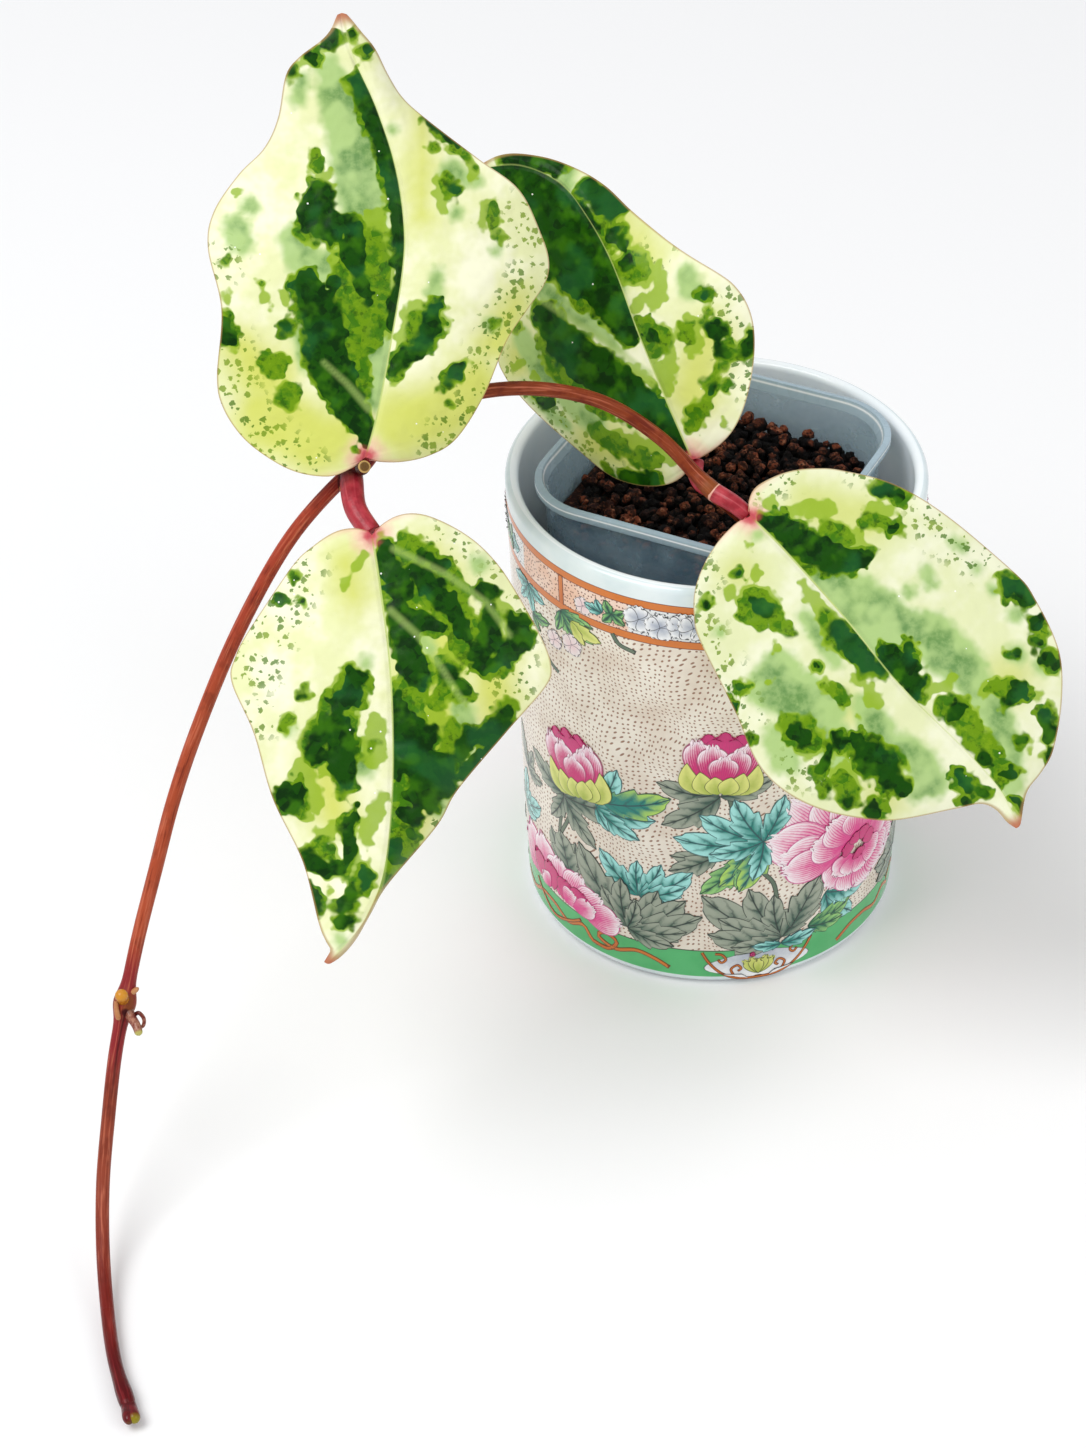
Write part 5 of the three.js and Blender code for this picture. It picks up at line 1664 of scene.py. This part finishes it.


# %% [markdown]
# The inner pot is clear plastic that looks bluish grey. True glass would show dark reflections
# of the narrow gap and render slowly. So the wall is a bluish veil, see-through by its alpha,
# denser in the flange, with a painted highlight along its upper edge.


# %% Clear plastic
def clear_finish():
    plastic = Finish("clear_plastic", IOR=1.46, Specular_IOR_Level=0.7)
    place = plastic.place()
    height = plastic.node("ShaderNodeSeparateXYZ", {"Vector": place}).outputs["Z"]
    flange = plastic.range(height, (under_flange - 0.6) * MM, (under_flange + 0.2) * MM)
    milky = plastic.noise(place, 60, 3, 0.6)
    wall = plastic.lay(tint(132, 164, 184), tint(166, 192, 206), milky, 0.35, 0.65)
    colour = plastic.mix(flange, wall, tint(178, 200, 212))
    # Painted highlight: a thin near-white, nearly opaque line just under the top edge.
    from_edge = plastic.minus(height, (INNER_TOP - 0.9) * MM)
    edge_highlight = plastic.range(plastic.unsigned(from_edge), 0.0005, 0.0001)
    colour = plastic.mix(edge_highlight, colour, tint(246, 250, 252))
    thick = plastic.plus(plastic.range(milky, 0.35, 0.65, 0.3, 0.42), plastic.times(flange, 0.42))
    thick = plastic.larger(thick, plastic.times(edge_highlight, 0.95))
    rough = plastic.range(plastic.noise(place, 220, 3), 0.3, 0.7, 0.18, 0.34)
    uneven = plastic.bump(milky, 0.0004, 0.3)
    return plastic.set(Base_Color=colour, Alpha=thick, Roughness=rough, Normal=uneven)


dress(inner_pot, clear_finish())

# %% [markdown]
# The pot is painted in raised enamels: peonies, sprays of leaves, a band of blossoms under the
# rim and a green foot band with scrolls. An image would be the usual way, but enamel stands up
# from the glaze, and a mesh of it stays sharp. So each petal, leaflet and line is a small net.
# An enamel is its colours at the base, at the tip and of the drawn lines, where the first turns
# into the second, and its number of veins.

# %% Enamels and their nets
WRAP_RADIUS = 58
HALF_TURN = math.pi * WRAP_RADIUS
ENAMEL_STEP = 0.02
ENAMEL_BODY = 0.3
ENAMEL_START = 0.03
BEYOND = 9

ENAMELS = {
    "turquoise": (tint(0, 128, 116), tint(164, 228, 222), tint(8, 66, 72), (0.1, 0.75), 4.5),
    "lime_tipped": (tint(0, 128, 116), tint(176, 216, 96), tint(8, 66, 72), (0.3, 0.8), 4.5),
    "grey_green": (tint(52, 88, 72), tint(158, 166, 148), tint(26, 42, 38), (0, 0.66), 4.5),
    "leaf_green": (tint(10, 108, 74), tint(150, 206, 120), tint(20, 60, 50), (0.1, 0.8), 4.5),
    "sepal": (tint(164, 182, 62), tint(226, 228, 128), tint(70, 84, 30), (0, 0.8), 0),
    "bud_petal": (tint(206, 24, 112), tint(252, 236, 244), tint(150, 10, 84), (0.3, 0.72), 7),
    "magenta": (tint(214, 44, 124), tint(196, 26, 108), tint(132, 8, 70), (0, 1), 6),
    "rose": (tint(226, 60, 140), tint(253, 242, 246), tint(196, 50, 130), (0.1, 0.74), 8),
    "white": (tint(164, 172, 188), tint(248, 249, 250), tint(34, 36, 46), (0, 0.7), 0),
    "cloud": (tint(234, 206, 208), tint(244, 242, 240), tint(120, 104, 116), (0, 1), 0),
    "orange": (tint(200, 104, 30), tint(214, 122, 44), tint(104, 46, 20), (0, 1), 0),
    "twig": (tint(86, 108, 88), tint(112, 126, 104), tint(34, 44, 38), (0, 1), 0),
}
STAMPS = {"leaf": (6, 22), "petal": (12, 12), "small": (4, 9), "line": (2, 34)}

stamps = {}
for stamp_name, (columns, rows) in STAMPS.items():
    bpy.ops.mesh.primitive_grid_add(x_subdivisions=columns, y_subdivisions=rows, size=2)
    stamps[stamp_name] = bpy.context.object
patches = {"leaves": [], "blossoms": [], "lines": []}
print("enamel colours:", len(ENAMELS), "and net sizes:", STAMPS)

# %% [markdown]
# A patch is drawn on the unrolled wall and laid round it, twice, half a turn apart, so the
# painting goes all the way round. Patches that overlap stand a hair higher than the ones they
# cover. Their points keep the wash, the veins and how near the edge is.


# %% Laying a patch on the wall
def on_wall(arc, height, lift):
    straight = (np.clip(height, FOOT_ROUND, POT_HEIGHT) - FOOT_ROUND) / (POT_HEIGHT - lip - FOOT_ROUND)
    radius = FOOT_RADIUS + (RIM_RADIUS - FOOT_RADIUS) * straight + lift
    angle = arc / WRAP_RADIUS - math.pi / 2
    return np.column_stack([radius * np.cos(angle), radius * np.sin(angle), height])


def lay_patch(group, enamel, stamp_name, level, shape):
    # One patch on the front and the same one half a turn further round.
    inner, outer, line, (start, end), veins = ENAMELS[enamel]
    leafy = group == "leaves"
    for turn in (0, HALF_TURN):
        patch = stamps[stamp_name].copy()
        patch.data = stamps[stamp_name].data.copy()
        bpy.context.collection.objects.link(patch)
        net = vertex_places(patch)
        across, along = net[:, 0], (net[:, 1] + 1) / 2
        beside = np.abs(across)
        flat, half_width, reach = shape(along, across)
        drawn_veins = veins * min(1, reach / 16) if leafy else veins
        lift = ENAMEL_START + ENAMEL_STEP * level
        move_vertices(patch, on_wall(flat[:, 0] + turn, flat[:, 1], lift) * MM)
        wash = 0.6 * along + 0.4 * beside if leafy else 0.85 * along + 0.2 * beside
        fade = 1 - 0.8 * beside if leafy else 1 - 0.75 * along
        set_attribute(patch, "wash", (wash - start) / (end - start))
        set_attribute(patch, "fade", fade * min(veins, 1))
        streak = along * drawn_veins - 1.2 * beside if leafy else across * drawn_veins
        set_attribute(patch, "streak", streak)
        set_attribute(patch, "midrib", beside * half_width + BEYOND * (not leafy or veins == 0))
        set_attribute(patch, "edge", np.minimum((1 - beside) * half_width, (1 - along) * reach))
        for name, colour in (("inner", inner), ("outer", outer), ("line", line)):
            set_attribute(patch, name, np.tile(colour, (len(net), 1)))
        patches[group].append(patch)


# %% [markdown]
# Three brushes draw all there is: a toothed and pointed leaflet, a round petal with a scalloped
# edge, and a line. Each is a rule for how wide the net is on its way from base to tip, so one
# function serves leaves of any size.


# %% Leaflet, petal and line
def drawn_out(base, tip, bend, along, across, half_width):
    base, tip = np.array(base, float), np.array(tip, float)
    way = tip - base
    aside = np.array([way[1], -way[0]])
    middle = base + np.outer(along, way) + np.outer(4 * along * (1 - along) * bend, aside)
    return middle + np.outer(across * half_width / np.linalg.norm(way), aside)


def leaflet(enamel, base, tip, width, level, bend=0.0, teeth=3.2):
    reach = math.dist(base, tip)

    def shape(along, across):
        body = np.sin(math.pi * np.clip(along, 0, 1) ** 0.85) ** 0.8
        tooth = (along * teeth + 0.15) % 1
        toothed = np.abs(across) ** 2 * (along > 0.22)
        half_width = width / 2 * np.maximum(body * (1 + 0.42 * (tooth - 0.45) * toothed), 0.02)
        forward = along + 0.07 * tooth * toothed * (1 - along)
        return drawn_out(base, tip, bend, forward, across, half_width), half_width, reach

    lay_patch("leaves", enamel, "leaf" if reach > 9 else "small", level, shape)


def petal(enamel, base, tip, width, level, bend=0.0, scallops=3):
    reach = math.dist(base, tip)

    def shape(along, across):
        swell = np.sin(along * math.pi / 2)
        opened = np.sin(np.minimum(swell / 0.62, 1) * math.pi / 2) ** 0.8
        rounded = np.sqrt(np.maximum(1 - (np.maximum(swell - 0.62, 0) / 0.4) ** 2, 0))
        half_width = width / 2 * np.maximum(opened * rounded, 0.03)
        ruffle = 1 - 0.1 * swell**3 * (1 - np.cos(2 * math.pi * scallops * (across + 0.5))) / 2
        forward = swell * ruffle * (1 - 0.1 * swell * across**2)
        return drawn_out(base, tip, bend, forward, across, half_width), half_width, reach

    lay_patch("blossoms", enamel, "petal" if max(reach, width) > 7 else "small", level, shape)


def drawn_line(enamel, points, width, level, group="lines"):
    centre = fine_curve(points, 0.5)

    def shape(along, across):
        half_width = np.full(len(along), width / 2)
        ahead = at_shares(centre, np.minimum(along + 0.01, 1))
        ahead = ahead - at_shares(centre, np.maximum(along - 0.01, 0))
        ahead /= np.linalg.norm(ahead, axis=1)[:, None]
        aside = np.column_stack([ahead[:, 1], -ahead[:, 0]])
        flat = at_shares(centre, along) + aside * (across * half_width)[:, None]
        return flat, half_width, run_of(centre)[-1]

    lay_patch(group, enamel, "line", level, shape)


# %% [markdown]
# The brushes are put together to motifs: a spray of leaflets from one centre, an opening bud
# and a small blossom, each with its nearest part last and highest.


# %% Spray, bud and blossom
def spray(enamel, centre, tips, level, width=0.44, bend=0.05):
    for step, tip in enumerate(tips):
        turned = bend if tip[0] > centre[0] else -bend
        leaflet(enamel, centre, tip, width * math.dist(centre, tip), level + step, turned)


def bud_flower(x, y, size, lean, level):
    # An opening bud: dark petals behind, streaked ones in front, sepals round its foot.
    def at(side, up):
        turned = math.radians(lean)
        return (
            x + size * (side * math.cos(turned) - up * math.sin(turned)),
            y + size * (side * math.sin(turned) + up * math.cos(turned)),
        )

    for step, (side, up) in enumerate([(-5, 11.2), (5, 11.2), (0, 12.2)]):
        petal("magenta", at(side * 0.5, -8), at(side, up), 13 * size, level + step, 0, 0)
    fronts = [(-5, -8.5, 9.5, 10), (5, 8.5, 9, 10), (-2, -3.5, 8, 10), (3, 5, 6.5, 9), (0, 0.5, 3.5, 9.5)]
    for step, (from_side, side, up, width) in enumerate(fronts):
        petal("bud_petal", at(from_side, -9), at(side, up), width * size, level + 3 + step, 0, 4)
    sepals = [(-10.5, -0.5), (10.5, -0.5), (-6.5, -3.5), (6.5, -3.5), (-2, -5), (3, -5)]
    for step, (side, up) in enumerate(sepals):
        leaflet("sepal", at(side * 0.35, -12), at(side, up), 7.6 * size, level + 8 + step, side * 0.02, 0)


def blossom(enamel, x, y, radius, level, count=5, turn=0.3):
    for step in range(count):
        angle = turn + 2 * math.pi * step / count
        tip = (x + radius * math.cos(angle), y + radius * math.sin(angle))
        petal(enamel, (x, y), tip, radius * 1.15, level + step % 3, 0, 1)


# %% [markdown]
# The painting is given in millimetres round the wall from the front and upwards. Leaves
# come first, so that the flowers lie over them. A spray is its enamel, its centre, the tips of
# its leaflets and its level.

# %% Leaves and stems of the painting
leaf_sprays = [
    ("grey_green", (-52, 58), [(-70, 64.5), (-59.5, 45.5), (-39.5, 44), (-30, 64)], 2),
    ("turquoise", (-39, 61), [(-31.5, 78.5), (-19.5, 63), (-24.5, 54), (-34.5, 53.5)], 6),
    ("lime_tipped", (-37, 64), [(-15, 72.5)], 9),
    ("grey_green", (-1, 74.5), [(-19.5, 78), (-18, 62), (15, 80)], 2),
    ("grey_green", (-1, 52.5), [(-15.5, 50.5), (-16, 44.5)], 1),
    ("leaf_green", (6, 50), [(-6.5, 36.5), (4.5, 38)], 3),
    ("turquoise", (12, 56), [(-14.5, 58), (-7, 67.5), (3, 73.5), (18, 72.5), (-4, 52.5), (9, 41)], 5),
    ("lime_tipped", (12, 56), [(-1, 39.5), (5, 37)], 4),
    ("turquoise", (-25, 32),
     [(-38.5, 45.5), (-25.5, 46), (-18, 46.5), (-8.5, 45), (-10.5, 39), (-17, 32)], 2),
    ("grey_green", (-29, 18),
     [(-46.5, 43.5), (-38, 31), (-31, 37), (-19, 36), (-10.5, 33.5), (-5.5, 27.5)], 9),
    ("grey_green", (-29, 18), [(-10, 21), (-14, 14.5), (-26, 30)], 15),
    ("grey_green", (19, 16), [(-6, 36), (8, 38), (16, 34), (-1, 27), (-4, 20.5), (3, 15), (32, 36)], 4),
    ("turquoise", (34, 28), [(46.5, 13), (38, 16), (52, 22)], 1),
    ("leaf_green", (28, 17), [(45, 20), (42, 14.5)], 3),
    ("turquoise", (19, 13.6), [(9.5, 14.6), (31, 15)], 12),
    ("grey_green", (-52, 25), [(-60, 41), (-48, 42), (-57, 30)], 1),
    ("turquoise", (-84, 34), [(-66, 43), (-70, 36), (-78, 50)], 1),
    ("grey_green", (-76, 52), [(-70, 62), (-64, 54), (-82, 66)], 1),
    ("grey_green", (78, 70), [(66, 60), (64, 74), (90, 62), (91, 76)], 2),
    ("turquoise", (74, 40), [(62, 54), (70, 58), (84, 54), (88, 44), (86, 34)], 2),
    ("grey_green", (76, 18), [(58, 22), (64, 33), (76, 38), (88, 32), (92, 22), (60, 15)], 8),
    ("leaf_green", (-50, 127.5), [(-38, 127), (-36, 122.5), (-44, 119), (-52, 119.5)], 2),
    ("sepal", (-46, 126), [(-35.5, 123), (-41, 119.5)], 7),
    ("turquoise", (-66, 127), [(-57, 125), (-63, 117.5), (-72, 119), (-76, 125)], 2),
    ("leaf_green", (-64, 118), [(-55, 119.5), (-60, 113.5)], 6),
    ("grey_green", (60, 127), [(50, 124), (52, 118), (62, 114), (70, 119), (73, 125)], 2),
]
for enamel, centre, tips, level in leaf_sprays:
    spray(enamel, centre, tips, level)
leaflet("grey_green", (22, 19), (31, 36), 11, 12)
leaflet("grey_green", (-51, 27), (-55, 42.5), 12, 4)
stems = [
    [(-50.5, 58), (-54, 49), (-55.5, 41)], [(-48, 57), (-51, 49), (-54.5, 42)],
    [(1, 76), (2.5, 70), (3, 64)],
    [(12, 44), (15.5, 39), (17, 32), (18, 20)], [(78, 72), (80, 60), (76, 44), (76, 30)],
    [(-32, 128), (-30, 125), (-25, 123.5)], [(-52, 104), (-56, 106), (-60, 112)],
]
for points in stems:
    drawn_line("twig", points, 1.5, 0, "leaves")
print("leaf patches:", len(patches["leaves"]))

# %% [markdown]
# Two buds stand at the front and one at the side. The open peony has rings of petals that point
# away from its centre, the outermost first. A second peony shows only its upper half above the
# foot band.

# %% Flowers of the painting
RING_START, LOW_RING_START = 0.25, 0.45

bud_flower(-47.5, 73, 1.0, 14, 12)
bud_flower(-0.5, 87, 0.95, -3, 12)
bud_flower(80, 82, 0.95, -12, 12)

PEONY = (46, 40)
petal_rings = [
    ("rose", 15, [(18, 70), (28, 69), (38, 66), (50, 63), (62, 58), (70, 48)], 1),
    ("rose", 17, [(12, 57), (16, 48), (72, 40), (70, 30)], 8),
    ("rose", 15, [(34, 29), (44, 23), (54, 22), (63, 26)], 13),
    ("rose", 13, [(17, 43), (27, 50), (33, 56), (44, 57), (57, 53), (63, 44)], 18),
    ("rose", 10, [(36, 33), (42, 30), (50, 29), (57, 32)], 25),
    ("magenta", 6, [(39, 42), (44, 46), (50, 46), (54, 41), (47, 35)], 30),
]
for enamel, width, tips, level in petal_rings:
    for step, tip in enumerate(tips):
        start = [centre + RING_START * (end - centre) for centre, end in zip(PEONY, tip)]
        petal(enamel, start, tip, width, level + step, 0, 4)

LOW_PEONY = (-58, 15)
low_rings = [
    ("rose", 15, [(-84, 24), (-78, 31), (-67, 34), (-56, 31)], 6),
    ("rose", 12, [(-46, 30.5), (-38, 26), (-30.5, 19)], 11),
    ("magenta", 9, [(-72, 24), (-62, 26), (-52, 24), (-44, 23)], 15),
    ("rose", 8, [(-66, 19), (-49, 21), (-40, 20)], 20),
]
for enamel, width, tips, level in low_rings:
    for step, tip in enumerate(tips):
        start = (LOW_PEONY[0] + LOW_RING_START * (tip[0] - LOW_PEONY[0]), LOW_PEONY[1])
        petal(enamel, start, tip, width, level + step, 0, 4)

for x, y, radius in [(-46, 117.5, 4), (-53, 115.5, 3.4), (66, 122, 3.6)]:
    blossom("cloud", x, y, radius, 9)
print("blossom patches:", len(patches["blossoms"]))

# %% [markdown]
# Orange bars part the band under the rim into fields. Each field has leaves and blossoms at
# both ends, mirrored, so one loop draws them. The long lines are left to the glaze.

# %% Band under the rim
BAND_LOW, BAND_HIGH = 129.1, 141.1
BAND_MIDDLE = (BAND_LOW + BAND_HIGH) / 2
BARS = (-49.5, 41.5)
FIELD = 78

for arc in BARS:
    drawn_line("orange", [(arc, BAND_LOW + 1), (arc, BAND_HIGH - 1)], 1.9, 2)
for field in BARS:
    for shift, side in ((0, 1), (FIELD, -1)):
        middle = field + 12.5 * side + shift
        band_sprays = [
            ("turquoise", (2, 134), [(-4, 135), (0, 138)], 3, 0.6),
            ("leaf_green", (5, 134), [(3, 139), (9, 137)], 5, 0.6),
            ("leaf_green", (5, 135), [(2, 131), (9, 132)], 7, 0.6),
            ("leaf_green", (28, 133), [(33, 138), (34, 133)], 3, 0.5),
        ]
        for enamel, (out, up), tips, level, width in band_sprays:
            turned = [(middle + tip_out * side, tip_up) for tip_out, tip_up in tips]
            spray(enamel, (middle + out * side, up), turned, level, width)
        for step, (out, rise) in enumerate([(13, 0.6), (19, -0.8), (25, 0.4)]):
            blossom("white", middle + out * side, BAND_MIDDLE + rise, 4.8, 9 + 3 * step)
    blossom("cloud", field + 8, 133.5, 3.2, 1)
    blossom("rose", field + 45.5, BAND_MIDDLE, 4.2, 6)
print("blossom patches now:", len(patches["blossoms"]))

# %% [markdown]
# The foot band carries orange scrolls and, twice on the pot, a white medallion with a lotus in
# an orange bowl. The longest scroll is drawn in two overlapping lengths, because a net has only
# so many rows.

# %% Foot band
FOOT_BAND = 13.5
MEDALLION = 12

scroll = [
    (-84, 6), (-76, 5), (-68, 9), (-60, 9.5), (-53, 7), (-46, 10), (-42, 6), (-36, 6), (-33, 10), (-37, 12),
    (-40, 9.5), (-34, 7), (-26, 9.5), (-20, 8), (-15.5, 5.5),
]
drawn_line("orange", scroll[:8], 1.5, 2)
drawn_line("orange", scroll[6:], 1.5, 4)
drawn_line("orange", [(-72, 11.5), (-66, 7), (-60, 5), (-52, 8), (-47, 11.5)], 1.1, 6)
drawn_line("orange", [(40, 5), (46, 8), (53, 8.5), (60, 6.5), (66, 9), (72, 6)], 1.5, 2)
drawn_line("orange", [(70, 9), (76, 11), (82, 7), (88, 5), (94, 8)], 1.5, 4)

petal("white", (MEDALLION, FOOT_BAND - 0.4), (MEDALLION, 1.6), 34, 3, 0, 1)
bowl = [
    (-5.5, 12.8), (-3.5, 9), (0.5, 4.5), (5, 2.3), (12, 1.8), (19, 2.3), (23.5, 4.5), (27.5, 9),
    (29.5, 12.8),
]
drawn_line("orange", bowl, 1.0, 6)
curls = [
    [(13.5, 12.4), (11.5, 12), (10.2, 10), (11.5, 8.8), (12.6, 10)],
    [(7.5, 3), (8.5, 6), (6.6, 7.4), (5.4, 6), (6.4, 5)],
]
for side in (-1, 1):
    for points in curls:
        drawn_line("orange", [(MEDALLION + side * x, y) for x, y in points], 0.9, 7)
for step, tip in enumerate([(7, 9.5), (17, 9.5), (9.5, 10.5), (14.5, 10.5), (12, 9.6)]):
    petal("sepal", (MEDALLION, 3.2), tip, 3.6, 8 + step, 0, 1)
blossom("magenta", MEDALLION - 2, 11.4, 1.0, 14)
print("line patches:", len(patches["lines"]))

# %% [markdown]
# All patches of a kind become one piece. Solidify gives it the enamel's thickness, inwards, so
# that the patches sit sunk in the glaze and no edge floats.


# %% Joining the enamels
def join_patches(name, pieces):
    select_only(pieces[0])
    for patch in pieces:
        patch.select_set(True)
    bpy.ops.object.join()
    enamel = bpy.context.object
    body = enamel.modifiers.new("body", "SOLIDIFY")
    body.thickness = ENAMEL_BODY * MM
    body.offset = -1
    bpy.ops.object.modifier_apply(modifier=body.name)
    return keep(enamel, name, "porcelain", crease=30)


enamels = [join_patches("enamel_" + group, pieces) for group, pieces in patches.items()]
for stamp in stamps.values():
    bpy.data.objects.remove(stamp)

# %% [markdown]
# The glaze is white at rim and foot, beige with small brown dots over the wall, and green in
# the foot band. Inside it is a brighter white, a painted light that lifts the shade in the pot.
# Its bands go by height, and its dots by the way round the pot, which the arc tangent of the
# place gives, so nothing needs unwrapping. A slow noise makes their rows sway as if set by hand.

# %% Glaze
LINE_WIDTH = 2.2
BROWN_EDGE = 0.25
INSIDE_DEPTH = 1.5
FIELD_START = 2


def glaze_finish():
    glaze = Finish("painted_glaze", Roughness=0.14, Specular_IOR_Level=0.5)
    parts = glaze.node("ShaderNodeSeparateXYZ", {"Vector": glaze.place()}).outputs
    back = glaze.times(parts["Y"], -1)
    arc = glaze.times(glaze.math("ARCTAN2", parts["X"], back), WRAP_RADIUS)
    height = glaze.math("DIVIDE", parts["Z"], MM)
    square = glaze.plus(glaze.math("POWER", parts["X"], 2), glaze.math("POWER", parts["Y"], 2))
    radius = glaze.math("DIVIDE", glaze.math("SQRT", square), MM)
    flat = glaze.node("ShaderNodeCombineXYZ", {"X": arc, "Y": height}).outputs["Vector"]
    sway = glaze.times(glaze.minus(glaze.noise(flat, 0.045, 1), 0.5), 14)
    swayed = glaze.node("ShaderNodeCombineXYZ", {
        "X": glaze.plus(arc, sway), "Y": glaze.plus(height, sway)}).outputs["Vector"]

    def between(low, high, soft=0.12):
        over = glaze.range(height, low - soft, low + soft)
        return glaze.times(over, glaze.range(height, high + soft, high - soft))

    mottled = glaze.noise(flat, 0.07, 3, 0.55)
    ground = glaze.lay(tint(220, 204, 186), tint(241, 233, 219), mottled, 0.2, 0.7)
    dots = glaze.range(glaze.cells(swayed, 0.62, 0.4, voronoi_dimensions="2D"), 0.25, 0.15, 0, 0.9)
    ground = glaze.mix(dots, ground, tint(134, 88, 58))
    band_ground = glaze.lay(tint(236, 192, 166), tint(244, 222, 208), mottled, 0.35, 0.65)
    ticks = glaze.range(glaze.cells(flat, 0.8, 0.9, voronoi_dimensions="2D"), 0.24, 0.16)
    band_ground = glaze.mix(ticks, band_ground, tint(116, 62, 42))
    pale_field = glaze.mix(ticks, tint(234, 236, 236), tint(84, 84, 92))
    shifted = glaze.minus(arc, FIELD_START + BARS[1] - HALF_TURN / 2)
    field = glaze.math("PINGPONG", shifted, HALF_TURN / 4)
    band_ground = glaze.lay(band_ground, pale_field, field, 20, 21)
    white = glaze.lay(tint(216, 230, 233), tint(232, 241, 242), mottled, 0.3, 0.7)
    green = glaze.lay(tint(76, 176, 104), tint(88, 188, 116), mottled, 0.35, 0.65)

    half_line = LINE_WIDTH / 2
    colour = glaze.mix(between(FOOT_BAND, BAND_LOW - half_line), white, ground)
    colour = glaze.mix(between(BAND_LOW + half_line, BAND_HIGH - half_line), colour, band_ground)
    colour = glaze.mix(between(FOOT_ROUND, FOOT_BAND), colour, green)
    for line in (BAND_LOW, BAND_HIGH):
        low, high = line - half_line, line + half_line
        colour = glaze.mix(between(low - BROWN_EDGE, high + BROWN_EDGE), colour, tint(112, 50, 22))
        colour = glaze.mix(between(low, high), colour, tint(212, 118, 40))
    colour = glaze.mix(between(FOOT_BAND - 0.2, FOOT_BAND + 0.2), colour, tint(60, 74, 56))
    widening = glaze.times(height, (RIM_RADIUS - FOOT_RADIUS) / POT_HEIGHT)
    wall_middle = glaze.plus(widening, FOOT_RADIUS - INSIDE_DEPTH)
    # Painted light: the inside is a brighter white than the rim.
    inside_lit_white = glaze.lay(tint(242, 249, 252), tint(248, 252, 254), mottled, 0.3, 0.7)
    colour = glaze.mix(glaze.math("GREATER_THAN", radius, wall_middle), inside_lit_white, colour)
    waves = glaze.bump(glaze.noise(flat, 0.05, 2), 0.0006, 0.25)
    rough = glaze.range(mottled, 0.3, 0.7, 0.1, 0.2)
    return glaze.set(Base_Color=colour, Normal=waves, Roughness=rough)


dress(cachepot, glaze_finish())
print("nodes in the glaze:", len(cachepot.data.materials[0].node_tree.nodes))


# %% [markdown]
# The enamels are shaded from base to tip, with drawn veins and a thin dark outline. The colours
# come from the points, so all enamels share one material. A little noise makes the wash and the
# veins unsteady.


# %% Raised enamel
def enamel_finish():
    enamel = Finish("raised_enamel", Roughness=0.2, Specular_IOR_Level=0.5)
    edge, fade = enamel.value("edge"), enamel.value("fade")
    drift = enamel.minus(enamel.noise(enamel.place(), 420, 3, 0.6), 0.5)
    turned = enamel.math("FRACT", enamel.plus(enamel.value("streak"), enamel.times(drift, 0.7)))
    ray = enamel.unsigned(enamel.minus(turned, 0.5))
    drawn_back = enamel.times(enamel.range(ray, 0.36, 0.04, 0, 0.42), fade)
    wash = enamel.plus(enamel.value("wash"), enamel.times(drift, 0.5))
    share = enamel.range(enamel.minus(wash, drawn_back), 0, 1)
    colour = enamel.mix(share, enamel.vector("inner"), enamel.vector("outer"))
    vein = enamel.times(enamel.range(ray, 0.12, 0.04, 0, 0.6), fade)
    colour = enamel.mix(vein, colour, enamel.vector("line"))
    outline = enamel.range(edge, 0.36, 0.18, 0, 0.9)
    dark = enamel.larger(outline, enamel.range(enamel.value("midrib"), 0.34, 0.16, 0, 0.9))
    colour = enamel.mix(dark, colour, enamel.vector("line"))
    swelling = enamel.bump(enamel.range(edge, 0, 0.8), 0.00012, 0.5)
    return enamel.set(Base_Color=colour, Normal=swelling)


enamel_material = enamel_finish()
for enamel in enamels:
    dress(enamel, enamel_material)
print("pieces of enamel:", len(enamels))
